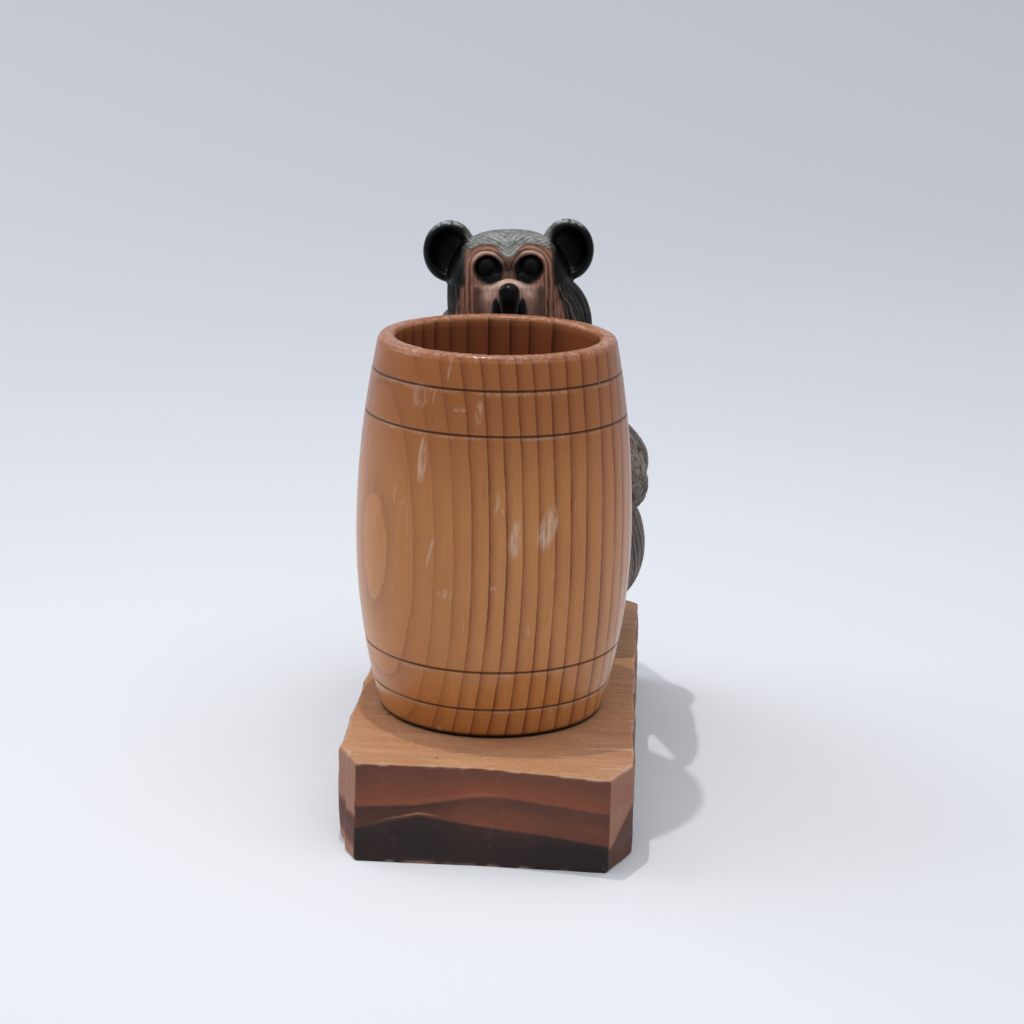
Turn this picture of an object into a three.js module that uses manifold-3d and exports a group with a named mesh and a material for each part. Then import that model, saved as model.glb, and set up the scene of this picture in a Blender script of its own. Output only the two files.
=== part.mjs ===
// A carved wooden bear that hugs a turned barrel cup, on a hewn plank.
// Millimetres, +Z up. The origin is on the underside of the plank, under its middle.
// +Y runs along the plank from the barrel to the bear, and the bear looks towards -Y.
import * as THREE from 'three';
import { mergeVertices } from 'three/addons/utils/BufferGeometryUtils.js';
import Module from 'manifold-3d';

const wasm = await Module();
wasm.setup();

// Gap that glued faces keep between them.
const GAP = 0.3;

// Plank.
const PLANK_WIDTH = 80;
const PLANK_FRONT = 82.9;
const PLANK_BACK = 80;
const PLANK_THICK = 26;
const FRONT_STEP = 5.5;
const FRONT_CUT = 6.4;
const FRONT_CUT_LONG = 12.5;
const BACK_CUT = 4.5;
const HEWN_LEAN = 3.9;
const HEWN_LEAN_BACK = 1.3;
const HEWN_SCOOP = 1.1;
// Three long scoops lie one above the other on the hewn front. The ridges between them are given as shares of
// the plank's thickness, at places from the left corner to the right one.
const RIDGE_PLACES = [-1, -0.5, -0.1, 0.15, 0.5, 1];
const RIDGE_LOW = [0.34, 0.5, 0.42, 0.39, 0.36, 0.29];
const RIDGE_HIGH = [0.56, 0.6, 0.7, 0.73, 0.7, 0.65];
const SIDE_WAVE = 0.55;
const WORN_EDGE = 0.7;

// Barrel.
const BARREL_X = -1.7;
const BARREL_Y = -23.2;
const BARREL_TALL = 105.4;
const BARREL_FOOT_R = 31.4;
const BARREL_BELLY_R = 38.4;
const BARREL_RIM_R = 32.5;
const BELLY_AT = 0.47;
const BARREL_BORE_R = 28;
const BARREL_FLOOR = 9;
const RIM_ROUND = 0.9;
const GROOVE_WIDE = 0.9;
const GROOVE_DEEP = 0.5;
const GROOVE_HEIGHTS = [8.6, 20.0, 84.9, 96.6];
const BARREL_SIDES = 36;

// Bear: shares of its own height, with its front set by the barrel that it holds.
const BEAR_TALL = 128.5;
const BEAR_TURN = THREE.MathUtils.degToRad(3.6);
const BEAR_SHIFT = 3.2;
const LOCK_DEEP = 1.2;
const PAW_THICK = 5.6;
// How far each paw's outside stands out beyond the barrel's belly, and how far short the left one stops.
const PAW_PROUD_RIGHT = 4.9;
const PAW_PROUD_LEFT = 0.2;
const PAW_SHORT_LEFT = 8.0;
// The wrist lies back by this part of what its paw is short.
const WRIST_BACK = 0.6;
// The left elbow is tucked in behind the barrel and its wrist is slimmer, by thousandths of the bear's height.
const TUCK_LEFT = 22;
const SLIM_LEFT = 7;

const WOOD = {
  plank: new THREE.MeshStandardMaterial({ color: 0xa5714a, roughness: 0.85, metalness: 0 }),
  barrel: new THREE.MeshStandardMaterial({ color: 0xb1763e, roughness: 0.35, metalness: 0 }),
  bear: new THREE.MeshStandardMaterial({ color: 0x35302d, roughness: 0.6, metalness: 0 }),
};

// Drops normals and uvs, so that only the shared corners are left.
function merged(geometry) {
  geometry.deleteAttribute('normal');
  geometry.deleteAttribute('uv');
  return mergeVertices(geometry, 1e-4);
}

function toSolid(geometry) {
  return new wasm.Manifold(
    new wasm.Mesh({
      numProp: 3,
      vertProperties: new Float32Array(geometry.attributes.position.array),
      triVerts: new Uint32Array(geometry.index.array),
    }),
  );
}

function toGeometry(solid) {
  const mesh = solid.getMesh();
  const geometry = new THREE.BufferGeometry();
  geometry.setAttribute('position', new THREE.BufferAttribute(new Float32Array(mesh.vertProperties), 3));
  geometry.setIndex(new THREE.BufferAttribute(new Uint32Array(mesh.triVerts), 1));
  return geometry;
}

function moved(geometry, place) {
  const points = geometry.attributes.position;
  const point = new THREE.Vector3();
  for (let i = 0; i < points.count; i += 1) {
    point.fromBufferAttribute(points, i);
    const to = place(point);
    points.setXYZ(i, to.x, to.y, to.z);
  }
  return geometry;
}

// How far the barrel's outside stands from its axis at a height: two arcs that meet at the belly.
function barrelRadius(height) {
  const belly = BARREL_TALL * BELLY_AT;
  const end = height < belly ? BARREL_FOOT_R : BARREL_RIM_R;
  const span = height < belly ? belly : BARREL_TALL - belly;
  const share = (height - belly) / span;
  return BARREL_BELLY_R - (BARREL_BELLY_R - end) * share * share;
}

function barrelSide(grow, grooved) {
  const heights = [];
  const steps = 11;
  const nearGroove = (h) => grooved && GROOVE_HEIGHTS.some((g) => Math.abs(g - h) < GROOVE_WIDE * 1.5);
  for (let i = 0; i <= steps; i += 1) {
    const h = RIM_ROUND + ((BARREL_TALL - 2 * RIM_ROUND) * i) / steps;
    if (!nearGroove(h)) heights.push([h, 0]);
  }
  if (grooved) {
    for (const g of GROOVE_HEIGHTS) {
      heights.push([g - GROOVE_WIDE / 2, 0], [g, GROOVE_DEEP], [g + GROOVE_WIDE / 2, 0]);
    }
  }
  heights.sort((a, b) => a[0] - b[0]);
  return heights.map(([h, cut]) => new THREE.Vector2(barrelRadius(h) + grow - cut, h));
}

function barrelGeometry() {
  const profile = [
    new THREE.Vector2(0, 0),
    new THREE.Vector2(BARREL_FOOT_R - RIM_ROUND, 0),
    ...barrelSide(0, true),
    new THREE.Vector2(BARREL_RIM_R - RIM_ROUND, BARREL_TALL),
    new THREE.Vector2(BARREL_BORE_R + RIM_ROUND, BARREL_TALL),
    new THREE.Vector2(BARREL_BORE_R, BARREL_TALL - RIM_ROUND),
    new THREE.Vector2(BARREL_BORE_R, BARREL_FLOOR),
    new THREE.Vector2(0, BARREL_FLOOR),
  ];
  // A lathe turns about +Y, so it is laid back to stand along +Z.
  return merged(new THREE.LatheGeometry(profile, BARREL_SIDES).rotateX(Math.PI / 2));
}

// The space that the barrel takes from the bear: its outside, grown by the gap, and open above.
function barrelSpace() {
  const side = barrelSide(GAP, false);
  const profile = [
    new THREE.Vector2(0, -BARREL_TALL),
    new THREE.Vector2(BARREL_FOOT_R + GAP, -BARREL_TALL),
    ...side,
    new THREE.Vector2(BARREL_RIM_R + GAP, BARREL_TALL + GAP),
    new THREE.Vector2(0, BARREL_TALL + GAP),
  ];
  return toSolid(merged(new THREE.LatheGeometry(profile, BARREL_SIDES).rotateX(Math.PI / 2)));
}

// Points along the plank's outline, anticlockwise, seen from above.
function plankOutline() {
  const half = PLANK_WIDTH / 2;
  const corners = [
    [-half + FRONT_CUT, -PLANK_FRONT + FRONT_STEP],
    [0, -PLANK_FRONT + FRONT_STEP],
    [half - FRONT_CUT, -PLANK_FRONT],
    [half, -PLANK_FRONT + FRONT_CUT_LONG],
    [half, PLANK_BACK - BACK_CUT],
    [half - BACK_CUT, PLANK_BACK],
    [-half + BACK_CUT, PLANK_BACK],
    [-half, PLANK_BACK - BACK_CUT],
    [-half, -PLANK_FRONT + FRONT_STEP + FRONT_CUT_LONG],
  ];
  const stretch = 9;
  const outline = [];
  corners.forEach((from, i) => {
    const to = corners[(i + 1) % corners.length];
    const long = Math.hypot(to[0] - from[0], to[1] - from[1]);
    const parts = Math.max(1, Math.round(long / stretch));
    for (let k = 0; k < parts; k += 1) {
      const t = k / parts;
      outline.push(new THREE.Vector2(from[0] + (to[0] - from[0]) * t, from[1] + (to[1] - from[1]) * t));
    }
  });
  return outline;
}

// A value between listed ones, along straight lines.
function between(places, values, at) {
  const place = THREE.MathUtils.clamp(at, places[0], places[places.length - 1]);
  const i = Math.max(0, Math.min(places.length - 2, places.findIndex((p) => p > place) - 1));
  const k = place >= places[places.length - 1] ? places.length - 2 : i;
  return values[k] + ((values[k + 1] - values[k]) * (place - places[k])) / (places[k + 1] - places[k]);
}

// Where a height of the hewn front comes to lie, and how deep it is scooped. Every second row is a ridge.
function scooped(across, share) {
  const step = share * 6;
  const low = between(RIDGE_PLACES, RIDGE_LOW, across);
  const high = between(RIDGE_PLACES, RIDGE_HIGH, across);
  const height = between([0, 2, 4, 6], [0, low, high, 1], step);
  const off = (step % 2) - 1;
  return { height, depth: HEWN_SCOOP * (1 - off * off) };
}

// Depth of the overlapping gouge cuts on the back end, at a place along it and a height, in two bands.
function gougeDepth(along, height) {
  const pitch = PLANK_WIDTH / 4;
  const upper = height > PLANK_THICK * 0.5;
  const phase = upper ? 0.15 : 0.6;
  const scallop = Math.abs(((along / pitch + phase) % 1 + 1) % 1 - 0.5) * 2;
  const band = upper ? height / PLANK_THICK - 0.78 : height / PLANK_THICK - 0.25;
  return HEWN_SCOOP * Math.max(0, (1 - scallop * scallop) * (1 - 9 * band * band));
}

function plankGeometry() {
  const steps = 6;
  const shape = new THREE.Shape(plankOutline());
  const block = merged(new THREE.ExtrudeGeometry(shape, { depth: PLANK_THICK, steps, bevelEnabled: false }));
  const half = PLANK_WIDTH / 2;
  return moved(block, (p) => {
    const to = p.clone();
    let low = 1 - p.z / PLANK_THICK;
    const frontEnd = p.y < -PLANK_FRONT + FRONT_STEP + FRONT_CUT_LONG * 0.6;
    const backEnd = p.y > PLANK_BACK - BACK_CUT * 0.5;
    const across = p.x / half;
    if (frontEnd) {
      // The left half of the hewn front leans out towards its foot, and the right corner leans in.
      const { height, depth } = scooped(p.x / (half - FRONT_CUT), p.z / PLANK_THICK);
      low = 1 - height;
      to.z = height * PLANK_THICK;
      to.y -= low * (HEWN_LEAN - (HEWN_LEAN + HEWN_LEAN_BACK) * Math.max(0, across));
      to.y += depth;
    } else if (backEnd) {
      to.y -= gougeDepth(p.x + PLANK_WIDTH / 3, p.z);
    } else {
      to.x -= Math.sign(p.x) * SIDE_WAVE * (1 + Math.sin(p.y * 0.21 + p.z * 0.12 + p.x)) * (0.4 + 0.6 * low);
    }
    if (p.z > PLANK_THICK - 1e-6) {
      to.x *= 1 - WORN_EDGE / half;
      to.y *= 1 - WORN_EDGE / PLANK_FRONT;
    }
    return to;
  });
}

// The carving is set out in thousandths of the bear's height. Depths start at the barrel's belly.
const share = (thousandths) => (thousandths * BEAR_TALL) / 1000;
const behind = (thousandths) => BARREL_BELLY_R + share(thousandths);

// How far out and how high each cheek stands.
const CHEEK_RIGHT = [share(192), share(752)];
const CHEEK_LEFT = [share(146), share(756)];
const EYE_X = share(47.5);
const EYE_Z = share(899);
const EYE_R = share(25);
const SOCKET_R = share(31);
const HEAD_Y = behind(191);
const HEAD_Z = share(817);
const HEAD_HALF = [share(144), share(148), share(156)];
const HEAD_BLOCK = 2.6;
const HEAD_TILT_DEG = 2;
const FACE_FLAT = 0.55;

// A ball of meridians and rings whose every second meridian is pressed in, which carves locks of fur.
// A smooth front leaves them off its lower pole.
function lockedBall(segments, rings, lockDeep, twist, smoothFront = false) {
  const ball = merged(new THREE.SphereGeometry(1, segments, rings));
  return moved(ball, (p) => {
    const around = Math.atan2(p.z, p.x);
    const index = Math.round((around / (2 * Math.PI)) * segments);
    const level = Math.sqrt(Math.max(0, 1 - p.y * p.y));
    const locked = Math.abs(index) % 2 === 1 && !(smoothFront && p.y < 0.1);
    const press = locked ? 1 - lockDeep : 1;
    const turned = around + twist * p.y;
    return new THREE.Vector3(Math.cos(turned) * level * press, p.y, Math.sin(turned) * level * press);
  });
}

// An egg: centre, half sizes, and how much its lower half swells. Its meridians run from top to bottom.
function egg({ at, half, swell = 0, segments = 28, rings = 14, locks = LOCK_DEEP, twist = 0 }) {
  const deep = locks / Math.max(half[0], half[1]);
  const ball = lockedBall(segments, rings, deep, twist).rotateX(Math.PI / 2);
  return toSolid(
    moved(ball, (p) => {
      const wide = 1 - swell * p.z;
      return new THREE.Vector3(at[0] + p.x * half[0] * wide, at[1] + p.y * half[1] * wide, at[2] + p.z * half[2]);
    }),
  );
}

// An egg that lies along Y, so that its locks run from front to back, as on the head.
function lyingEgg({ at, half, segments = 24, rings = 14, locks = LOCK_DEEP, twist = 0, shape = (p) => p }) {
  const deep = locks / Math.max(half[0], half[2]);
  const ball = lockedBall(segments, rings, deep, twist, true);
  return toSolid(
    moved(ball, (p) => {
      const s = shape(p.clone());
      return new THREE.Vector3(at[0] + s.x * half[0], at[1] + s.y * half[1], at[2] + s.z * half[2]);
    }),
  );
}

// A limb: a ball drawn out along a curve, each stop with a half thickness sideways and upwards.
// Sideways is the direction across, which must stay clear of the curve's own direction.
function limb({ stops, segments = 12, rings = 14, locks = 0, blunt = 5, across = [1, 0, 0] }) {
  const curve = new THREE.CatmullRomCurve3(stops.map((s) => new THREE.Vector3(...s.at)), false, 'centripetal');
  const side = new THREE.Vector3();
  const up = new THREE.Vector3();
  const sizeAt = (t, k) => {
    const place = t * (stops.length - 1);
    const i = Math.min(stops.length - 2, Math.floor(place));
    const f = place - i;
    return stops[i].half[k] * (1 - f) + stops[i + 1].half[k] * f;
  };
  const ball = merged(new THREE.SphereGeometry(1, segments, rings));
  return toSolid(
    moved(ball, (p) => {
      const t = Math.acos(THREE.MathUtils.clamp(p.y, -1, 1)) / Math.PI;
      const around = Math.atan2(p.z, p.x);
      const index = Math.round((around / (2 * Math.PI)) * segments);
      const round = Math.pow(Math.max(0, 1 - Math.pow(Math.abs(2 * t - 1), blunt)), 0.5);
      const press = Math.abs(index) % 2 === 1 ? locks : 0;
      const centre = curve.getPoint(t);
      const along = curve.getTangent(t);
      side.set(...across);
      side.addScaledVector(along, -side.dot(along)).normalize();
      up.crossVectors(along, side);
      const a = Math.max(0.05, sizeAt(t, 0) - press) * round;
      const b = Math.max(0.05, sizeAt(t, 1) - press) * round;
      return centre.addScaledVector(side, Math.cos(around) * a).addScaledVector(up, Math.sin(around) * b);
    }),
  );
}

// Sections of the trunk, from the plank up to inside the head: height, half width, back and front.
const TRUNK = [
  [-47, 109, 402, 137],
  [16, 202, 472, 44],
  [109, 257, 534, 5],
  [233, 280, 565, -19],
  [374, 280, 565, -34],
  [498, 268, 534, -34],
  [607, 233, 487, -19],
  [700, 198, 432, 12],
  [786, 144, 370, 75],
  [840, 78, 293, 137],
];

// The plan of the trunk is a rounded block: squarer in front, where it meets the barrel, than behind.
const FRONT_SQUARE = 3.4;
const BACK_SQUARE = 2.3;

// One ball drawn up through the sections, with locks that run down the back and lean outwards.
function trunk() {
  const rows = [0, 1, 2, 3].map((k) => TRUNK.map((section) => section[k]));
  const curve = (values, t) => {
    const place = THREE.MathUtils.clamp(t, 0, 1) * (values.length - 1);
    const i = Math.min(values.length - 2, Math.floor(place));
    return values[i] + (values[i + 1] - values[i]) * (place - i);
  };
  const ball = lockedBall(32, 18, LOCK_DEEP / share(280), 0.2).rotateX(Math.PI / 2);
  return toSolid(
    moved(ball, (p) => {
      const t = 1 - Math.acos(THREE.MathUtils.clamp(p.z, -1, 1)) / Math.PI;
      const level = Math.max(1e-6, Math.sqrt(1 - p.z * p.z));
      const [z, half, back, front] = rows.map((values) => curve(values, t));
      const closing = Math.min(1, level * 2.6);
      const middle = (back + front) / 2;
      const square = p.y < 0 ? FRONT_SQUARE : BACK_SQUARE;
      const round = Math.hypot(p.x, p.y) + 1e-9;
      const bulge =
        (Math.pow(Math.abs(p.x / round), square) + Math.pow(Math.abs(p.y / round), square)) ** (-1 / square);
      const x = (p.x / level) * half * closing * bulge;
      const y = middle + (p.y / level) * ((back - front) / 2) * closing * bulge;
      return new THREE.Vector3(share(x), behind(y), share(z));
    }),
  );
}

function haunch(side) {
  return egg({
    at: [side * share(233), behind(207), share(226)],
    half: [share(107), share(226), share(144)],
    segments: 18,
    rings: 10,
    twist: side * 0.3,
  });
}

function shoulder(side) {
  return egg({
    at: [side * share(187), behind(277), share(467)],
    half: [share(93), share(132), share(132)],
    segments: 12,
    rings: 8,
    locks: 0,
  });
}

function foot(side) {
  return egg({
    at: [side * share(156), behind(59), share(47)],
    half: [share(78), share(109), share(78)],
    segments: 16,
    rings: 8,
    locks: 0.4,
  });
}

// Where the outside of a paw stands, from the middle of the bear.
function pawOutside(side) {
  return BARREL_BELLY_R + (side > 0 ? PAW_PROUD_RIGHT : PAW_PROUD_LEFT) - side * BEAR_SHIFT;
}

function upperArm(side) {
  const x = (thousandths) => side * share(thousandths);
  const tuck = side > 0 ? 0 : TUCK_LEFT;
  return limb({
    stops: [
      { at: [x(136), behind(246), share(598)], half: [share(74), share(90)] },
      { at: [x(190 - tuck / 2), behind(246), share(496)], half: [share(82), share(104)] },
      { at: [x(262 - tuck), behind(215), share(418)], half: [share(84), share(92)] },
      { at: [x(260 - tuck), behind(199), share(366)], half: [share(62), share(70)] },
    ],
    segments: 14,
    rings: 10,
    locks: LOCK_DEEP,
    blunt: 6,
  });
}

function forearm(side) {
  const paw = pawOutside(side) - PAW_THICK / 2;
  const reach = side > 0 ? 0 : PAW_SHORT_LEFT;
  const tuck = side > 0 ? 0 : TUCK_LEFT;
  const slim = side > 0 ? 0 : SLIM_LEFT;
  const x = (value) => side * value;
  return limb({
    stops: [
      { at: [x(share(240 - tuck)), behind(270), share(418)], half: [share(70), share(78)] },
      { at: [x(share(266 - tuck)), behind(137), share(412)], half: [share(68), share(78)] },
      { at: [x(paw - share(10 + slim)), behind(28), share(422)], half: [share(50 - slim / 2), share(66)] },
      { at: [x(paw - share(slim)), behind(-65) + reach * WRIST_BACK, share(436)], half: [share(36 - slim / 2), share(53)] },
      { at: [x(paw), behind(-128) + reach, share(440)], half: [PAW_THICK / 2, share(46)] },
      { at: [x(paw - share(20)), behind(-198) + reach, share(440)], half: [PAW_THICK / 2, share(40)] },
    ],
    segments: 12,
    rings: 14,
    locks: LOCK_DEEP,
    blunt: 8,
  });
}

// Slits between the claws at the tip of a paw, standing one above the other.
function clawSlits(side) {
  const out = pawOutside(side);
  const reach = side > 0 ? 0 : PAW_SHORT_LEFT;
  let slits = null;
  for (const up of [-13, 13]) {
    const slit = limb({
      stops: [
        { at: [side * (out + share(3)), behind(-112) + reach, share(440 + up)], half: [share(9), share(4)] },
        { at: [side * (out - share(26)), behind(-213) + reach, share(440 + up)], half: [share(10), share(5)] },
      ],
      segments: 6,
      rings: 6,
    });
    slits = slits ? slits.add(slit) : slit;
  }
  return slits;
}

// Where the front of the skull stands at a place across and up the face.
function faceY(x, z) {
  const across = Math.pow(Math.abs(x / HEAD_HALF[0]), HEAD_BLOCK);
  const up = Math.pow(Math.abs((z - HEAD_Z) / HEAD_HALF[2]), HEAD_BLOCK);
  const out = Math.pow(across + up, 2 / HEAD_BLOCK);
  return HEAD_Y - HEAD_HALF[1] * Math.pow(Math.max(0, 1 - out), FACE_FLAT / 2);
}

function skull() {
  return lyingEgg({
    at: [0, HEAD_Y, HEAD_Z],
    half: HEAD_HALF,
    segments: 30,
    rings: 14,
    locks: 0.9,
    twist: 0.2,
    // A rounded block, with a face that is flatter than the back of the head.
    shape: (p) => {
      const size = Math.pow(Math.abs(p.x), HEAD_BLOCK) + Math.pow(Math.abs(p.z), HEAD_BLOCK);
      const flat = Math.pow(Math.hypot(p.x, p.z), HEAD_BLOCK);
      const swell = flat > 1e-9 ? Math.pow(flat / size, 1 / HEAD_BLOCK) : 1;
      p.y = p.y < 0 ? -Math.pow(-p.y, FACE_FLAT) : p.y;
      p.x *= swell;
      p.z *= swell;
      return p;
    },
  });
}

function cheek(side) {
  const [out, up] = side > 0 ? CHEEK_RIGHT : CHEEK_LEFT;
  const half = out * 0.45;
  return egg({
    at: [side * (out - half), behind(168), up],
    half: [half, share(113), share(117)],
    segments: 16,
    rings: 10,
    locks: 0.5,
  });
}

function ear(side) {
  const at = [side * share(135), behind(176), share(928)];
  const disc = lyingEgg({
    at,
    half: [share(62), share(33), share(72)],
    segments: 16,
    rings: 8,
    locks: 0,
  });
  const dish = lyingEgg({
    at: [at[0] + side * share(2), at[1] - share(26), at[2] - share(3)],
    half: [share(42), share(28), share(50)],
    segments: 12,
    rings: 6,
    locks: 0,
  });
  return { disc, dish };
}

function muzzle() {
  return limb({
    stops: [
      { at: [0, behind(137), share(833)], half: [share(86), share(70)] },
      { at: [0, behind(59), share(829)], half: [share(67), share(65)] },
      { at: [0, behind(-3), share(821)], half: [share(48), share(56)] },
      { at: [0, behind(-30), share(817)], half: [share(39), share(47)] },
    ],
    segments: 16,
    rings: 10,
    blunt: 4,
  });
}

function nose() {
  return limb({
    stops: [
      { at: [0, behind(1), share(866)], half: [share(25), share(16)] },
      { at: [0, behind(-20), share(861)], half: [share(28), share(19)] },
      { at: [0, behind(-29), share(816)], half: [share(22), share(11)] },
    ],
    segments: 10,
    rings: 8,
    blunt: 3,
  });
}

// A rib that starts between the eyes, rises over one of them and runs down the cheek outside it.
function brow(side, out, thick) {
  const stops = [];
  const turns = 5;
  const half = [thick, thick];
  for (let i = 0; i <= turns; i += 1) {
    const angle = Math.PI * (0.8 - (0.85 * i) / turns);
    const x = EYE_X + (SOCKET_R + out) * Math.cos(angle);
    const z = EYE_Z + (SOCKET_R + out * 0.7) * Math.sin(angle);
    stops.push({ at: [side * x, faceY(x, z), z], half });
  }
  const x = EYE_X + SOCKET_R + out + share(8);
  const z = EYE_Z - share(101);
  stops.push({ at: [side * x, faceY(x, z), z], half });
  return limb({ stops, segments: 6, rings: 10, blunt: 6, across: [0, 1, 0] });
}

// A ball on the eye's axis: sunk is how far its centre stands behind the face.
function eyeball(side, radius, sunk) {
  return lyingEgg({
    at: [side * EYE_X, faceY(EYE_X, EYE_Z) + sunk, EYE_Z],
    half: [radius, radius, radius],
    segments: 12,
    rings: 8,
    locks: 0,
  });
}

function mouth() {
  return limb({
    stops: [
      { at: [share(-62), behind(44), share(786)], half: [share(4), share(6)] },
      { at: [0, behind(-37), share(797)], half: [share(5), share(12)] },
      { at: [share(62), behind(44), share(786)], half: [share(4), share(6)] },
    ],
    segments: 6,
    rings: 10,
    across: [0, 0, 1],
  });
}

function head() {
  let carved = skull().add(muzzle());
  for (const side of [-1, 1]) {
    carved = carved.add(cheek(side));
    carved = carved.add(brow(side, share(9), share(12))).add(brow(side, share(32), share(12)));
  }
  for (const side of [-1, 1]) {
    carved = carved.subtract(eyeball(side, SOCKET_R, share(6)));
  }
  for (const side of [-1, 1]) {
    const { disc, dish } = ear(side);
    carved = carved.add(eyeball(side, EYE_R, EYE_R * 0.9)).add(disc).subtract(dish);
  }
  return carved.subtract(mouth()).add(nose());
}

// The head leans a little to one side, about the middle of the skull.
function leaningHead() {
  const centre = [0, -HEAD_Y, -HEAD_Z];
  const back = centre.map((value) => -value);
  return head().translate(centre).rotate([0, -HEAD_TILT_DEG, 0]).translate(back);
}

function bearGeometry() {
  let bear = trunk().add(leaningHead());
  for (const side of [-1, 1]) {
    bear = bear.add(haunch(side)).add(foot(side)).add(shoulder(side));
    bear = bear.add(upperArm(side)).add(forearm(side).subtract(clawSlits(side)));
  }
  // The foot of the block is sawn flat where it stands on the plank.
  const below = new THREE.BoxGeometry(4 * BEAR_TALL, 4 * BEAR_TALL, BEAR_TALL);
  below.translate(0, 0, -BEAR_TALL / 2);
  bear = bear.subtract(toSolid(merged(below)));
  const space = barrelSpace().translate([-BEAR_SHIFT, 0, 0]);
  return toGeometry(bear.subtract(space)).translate(BEAR_SHIFT, 0, 0);
}

function piece(name, geometry, material) {
  const mesh = new THREE.Mesh(geometry, material);
  mesh.name = name;
  return mesh;
}

const group = new THREE.Group();

group.add(piece('plank_base', plankGeometry(), WOOD.plank));

const barrel = piece('barrel', barrelGeometry(), WOOD.barrel);
barrel.position.set(BARREL_X, BARREL_Y, PLANK_THICK + GAP);
group.add(barrel);

const bear = piece('bear', bearGeometry(), WOOD.bear);
bear.position.set(BARREL_X, BARREL_Y, PLANK_THICK + GAP);
bear.rotation.z = BEAR_TURN;
group.add(bear);

export default group;
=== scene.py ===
import math

import bpy
import numpy as np
from mathutils import Matrix, Vector


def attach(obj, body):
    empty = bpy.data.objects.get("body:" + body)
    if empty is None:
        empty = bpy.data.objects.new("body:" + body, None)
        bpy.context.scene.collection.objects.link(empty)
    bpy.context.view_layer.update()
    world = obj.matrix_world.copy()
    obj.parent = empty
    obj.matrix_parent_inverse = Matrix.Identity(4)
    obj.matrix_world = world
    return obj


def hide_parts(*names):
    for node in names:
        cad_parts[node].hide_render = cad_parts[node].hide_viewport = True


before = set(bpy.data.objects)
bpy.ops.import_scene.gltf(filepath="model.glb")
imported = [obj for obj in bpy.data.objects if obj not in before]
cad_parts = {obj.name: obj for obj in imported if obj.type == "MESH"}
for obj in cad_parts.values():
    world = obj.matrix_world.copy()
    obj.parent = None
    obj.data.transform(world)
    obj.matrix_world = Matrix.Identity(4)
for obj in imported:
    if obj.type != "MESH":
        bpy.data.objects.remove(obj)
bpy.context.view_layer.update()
bpy.context.scene.view_settings.view_transform = "Standard"

# Sizes of the object, in millimetres, as in the part's source.
GAP = 0.3
PLANK_WIDTH = 80.0
PLANK_FRONT = 82.9
PLANK_BACK = 80.0
PLANK_THICK = 26.0
FRONT_STEP = 5.5
FRONT_CUT = 6.4
FRONT_CUT_LONG = 12.5
BACK_CUT = 4.5
HEWN_LEAN = 3.9
HEWN_LEAN_BACK = 1.3
HEWN_SCOOP = 1.1
# Ridges between the three long scoops of the hewn front, as shares of the plank's thickness.
RIDGE_PLACES = (-1.0, -0.5, -0.1, 0.15, 0.5, 1.0)
RIDGE_LOW = (0.34, 0.5, 0.42, 0.39, 0.36, 0.29)
RIDGE_HIGH = (0.56, 0.6, 0.7, 0.73, 0.7, 0.65)
SIDE_WAVE = 0.55
BARREL_X = -1.7
BARREL_Y = -23.2
BARREL_TALL = 105.4
BARREL_FOOT_R = 31.4
BARREL_BELLY_R = 38.4
BARREL_RIM_R = 32.5
BELLY_AT = 0.47
BARREL_BORE_R = 28.0
BARREL_FLOOR = 9.0
GROOVE_HEIGHTS = (8.6, 20.0, 84.9, 96.6)
GROOVE_WIDE = 0.9
GROOVE_DEEP = 0.5
FOOT_ROUND = 0.9
RIM_ROUND = 1.2
FLOOR_FILLET = 1.5
BEAR_TALL = 128.5
BEAR_TURN = math.radians(3.6)
BEAR_SHIFT = 3.2
HEAD_TILT = math.radians(2.0)
FOOT_Z = PLANK_THICK + GAP
# Painted shadow: the dark ring round the barrel's foot on the plank comes up between these distances from its
# axis.
FOOT_SHADOW_OUT = 31.6
FOOT_SHADOW_IN = 30.2


def share(thousandths):
    """A length on the bear, given in thousandths of its height."""
    return thousandths * BEAR_TALL / 1000.0


def behind(thousandths):
    """A depth on the bear, measured from the barrel's belly."""
    return BARREL_BELLY_R + share(thousandths)


# Numpy helpers.


def smooth(low, high, value):
    """A soft step: 0 below low, 1 above high, and an S curve between them."""
    t = np.clip((value - low) / (high - low), 0.0, 1.0)
    return t * t * (3.0 - 2.0 * t)


def bump(value, centre, half):
    """A soft hill that is 1 at the centre and 0 at half away from it."""
    return 1.0 - smooth(0.0, 1.0, np.abs(value - centre) / half)


def hashed(cells):
    """A fixed pseudo-random number from 0 to 1 for each row of whole numbers."""
    mixed = cells @ np.array([127.1, 311.7, 74.7])
    wave = np.sin(mixed) * 43758.5453
    return wave - np.floor(wave)


def noise(points, cell):
    """Value noise from -1 to 1: random numbers on a grid of cells, blended smoothly between its corners."""
    places = points / cell
    base = np.floor(places)
    part = places - base
    part = part * part * (3.0 - 2.0 * part)
    total = np.zeros(points.shape[:-1])
    for corner in range(8):
        step = np.array([corner & 1, (corner >> 1) & 1, (corner >> 2) & 1], float)
        weight = np.prod(np.where(step > 0, part, 1.0 - part), axis=-1)
        total += weight * hashed(base + step)
    return total * 2.0 - 1.0


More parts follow.
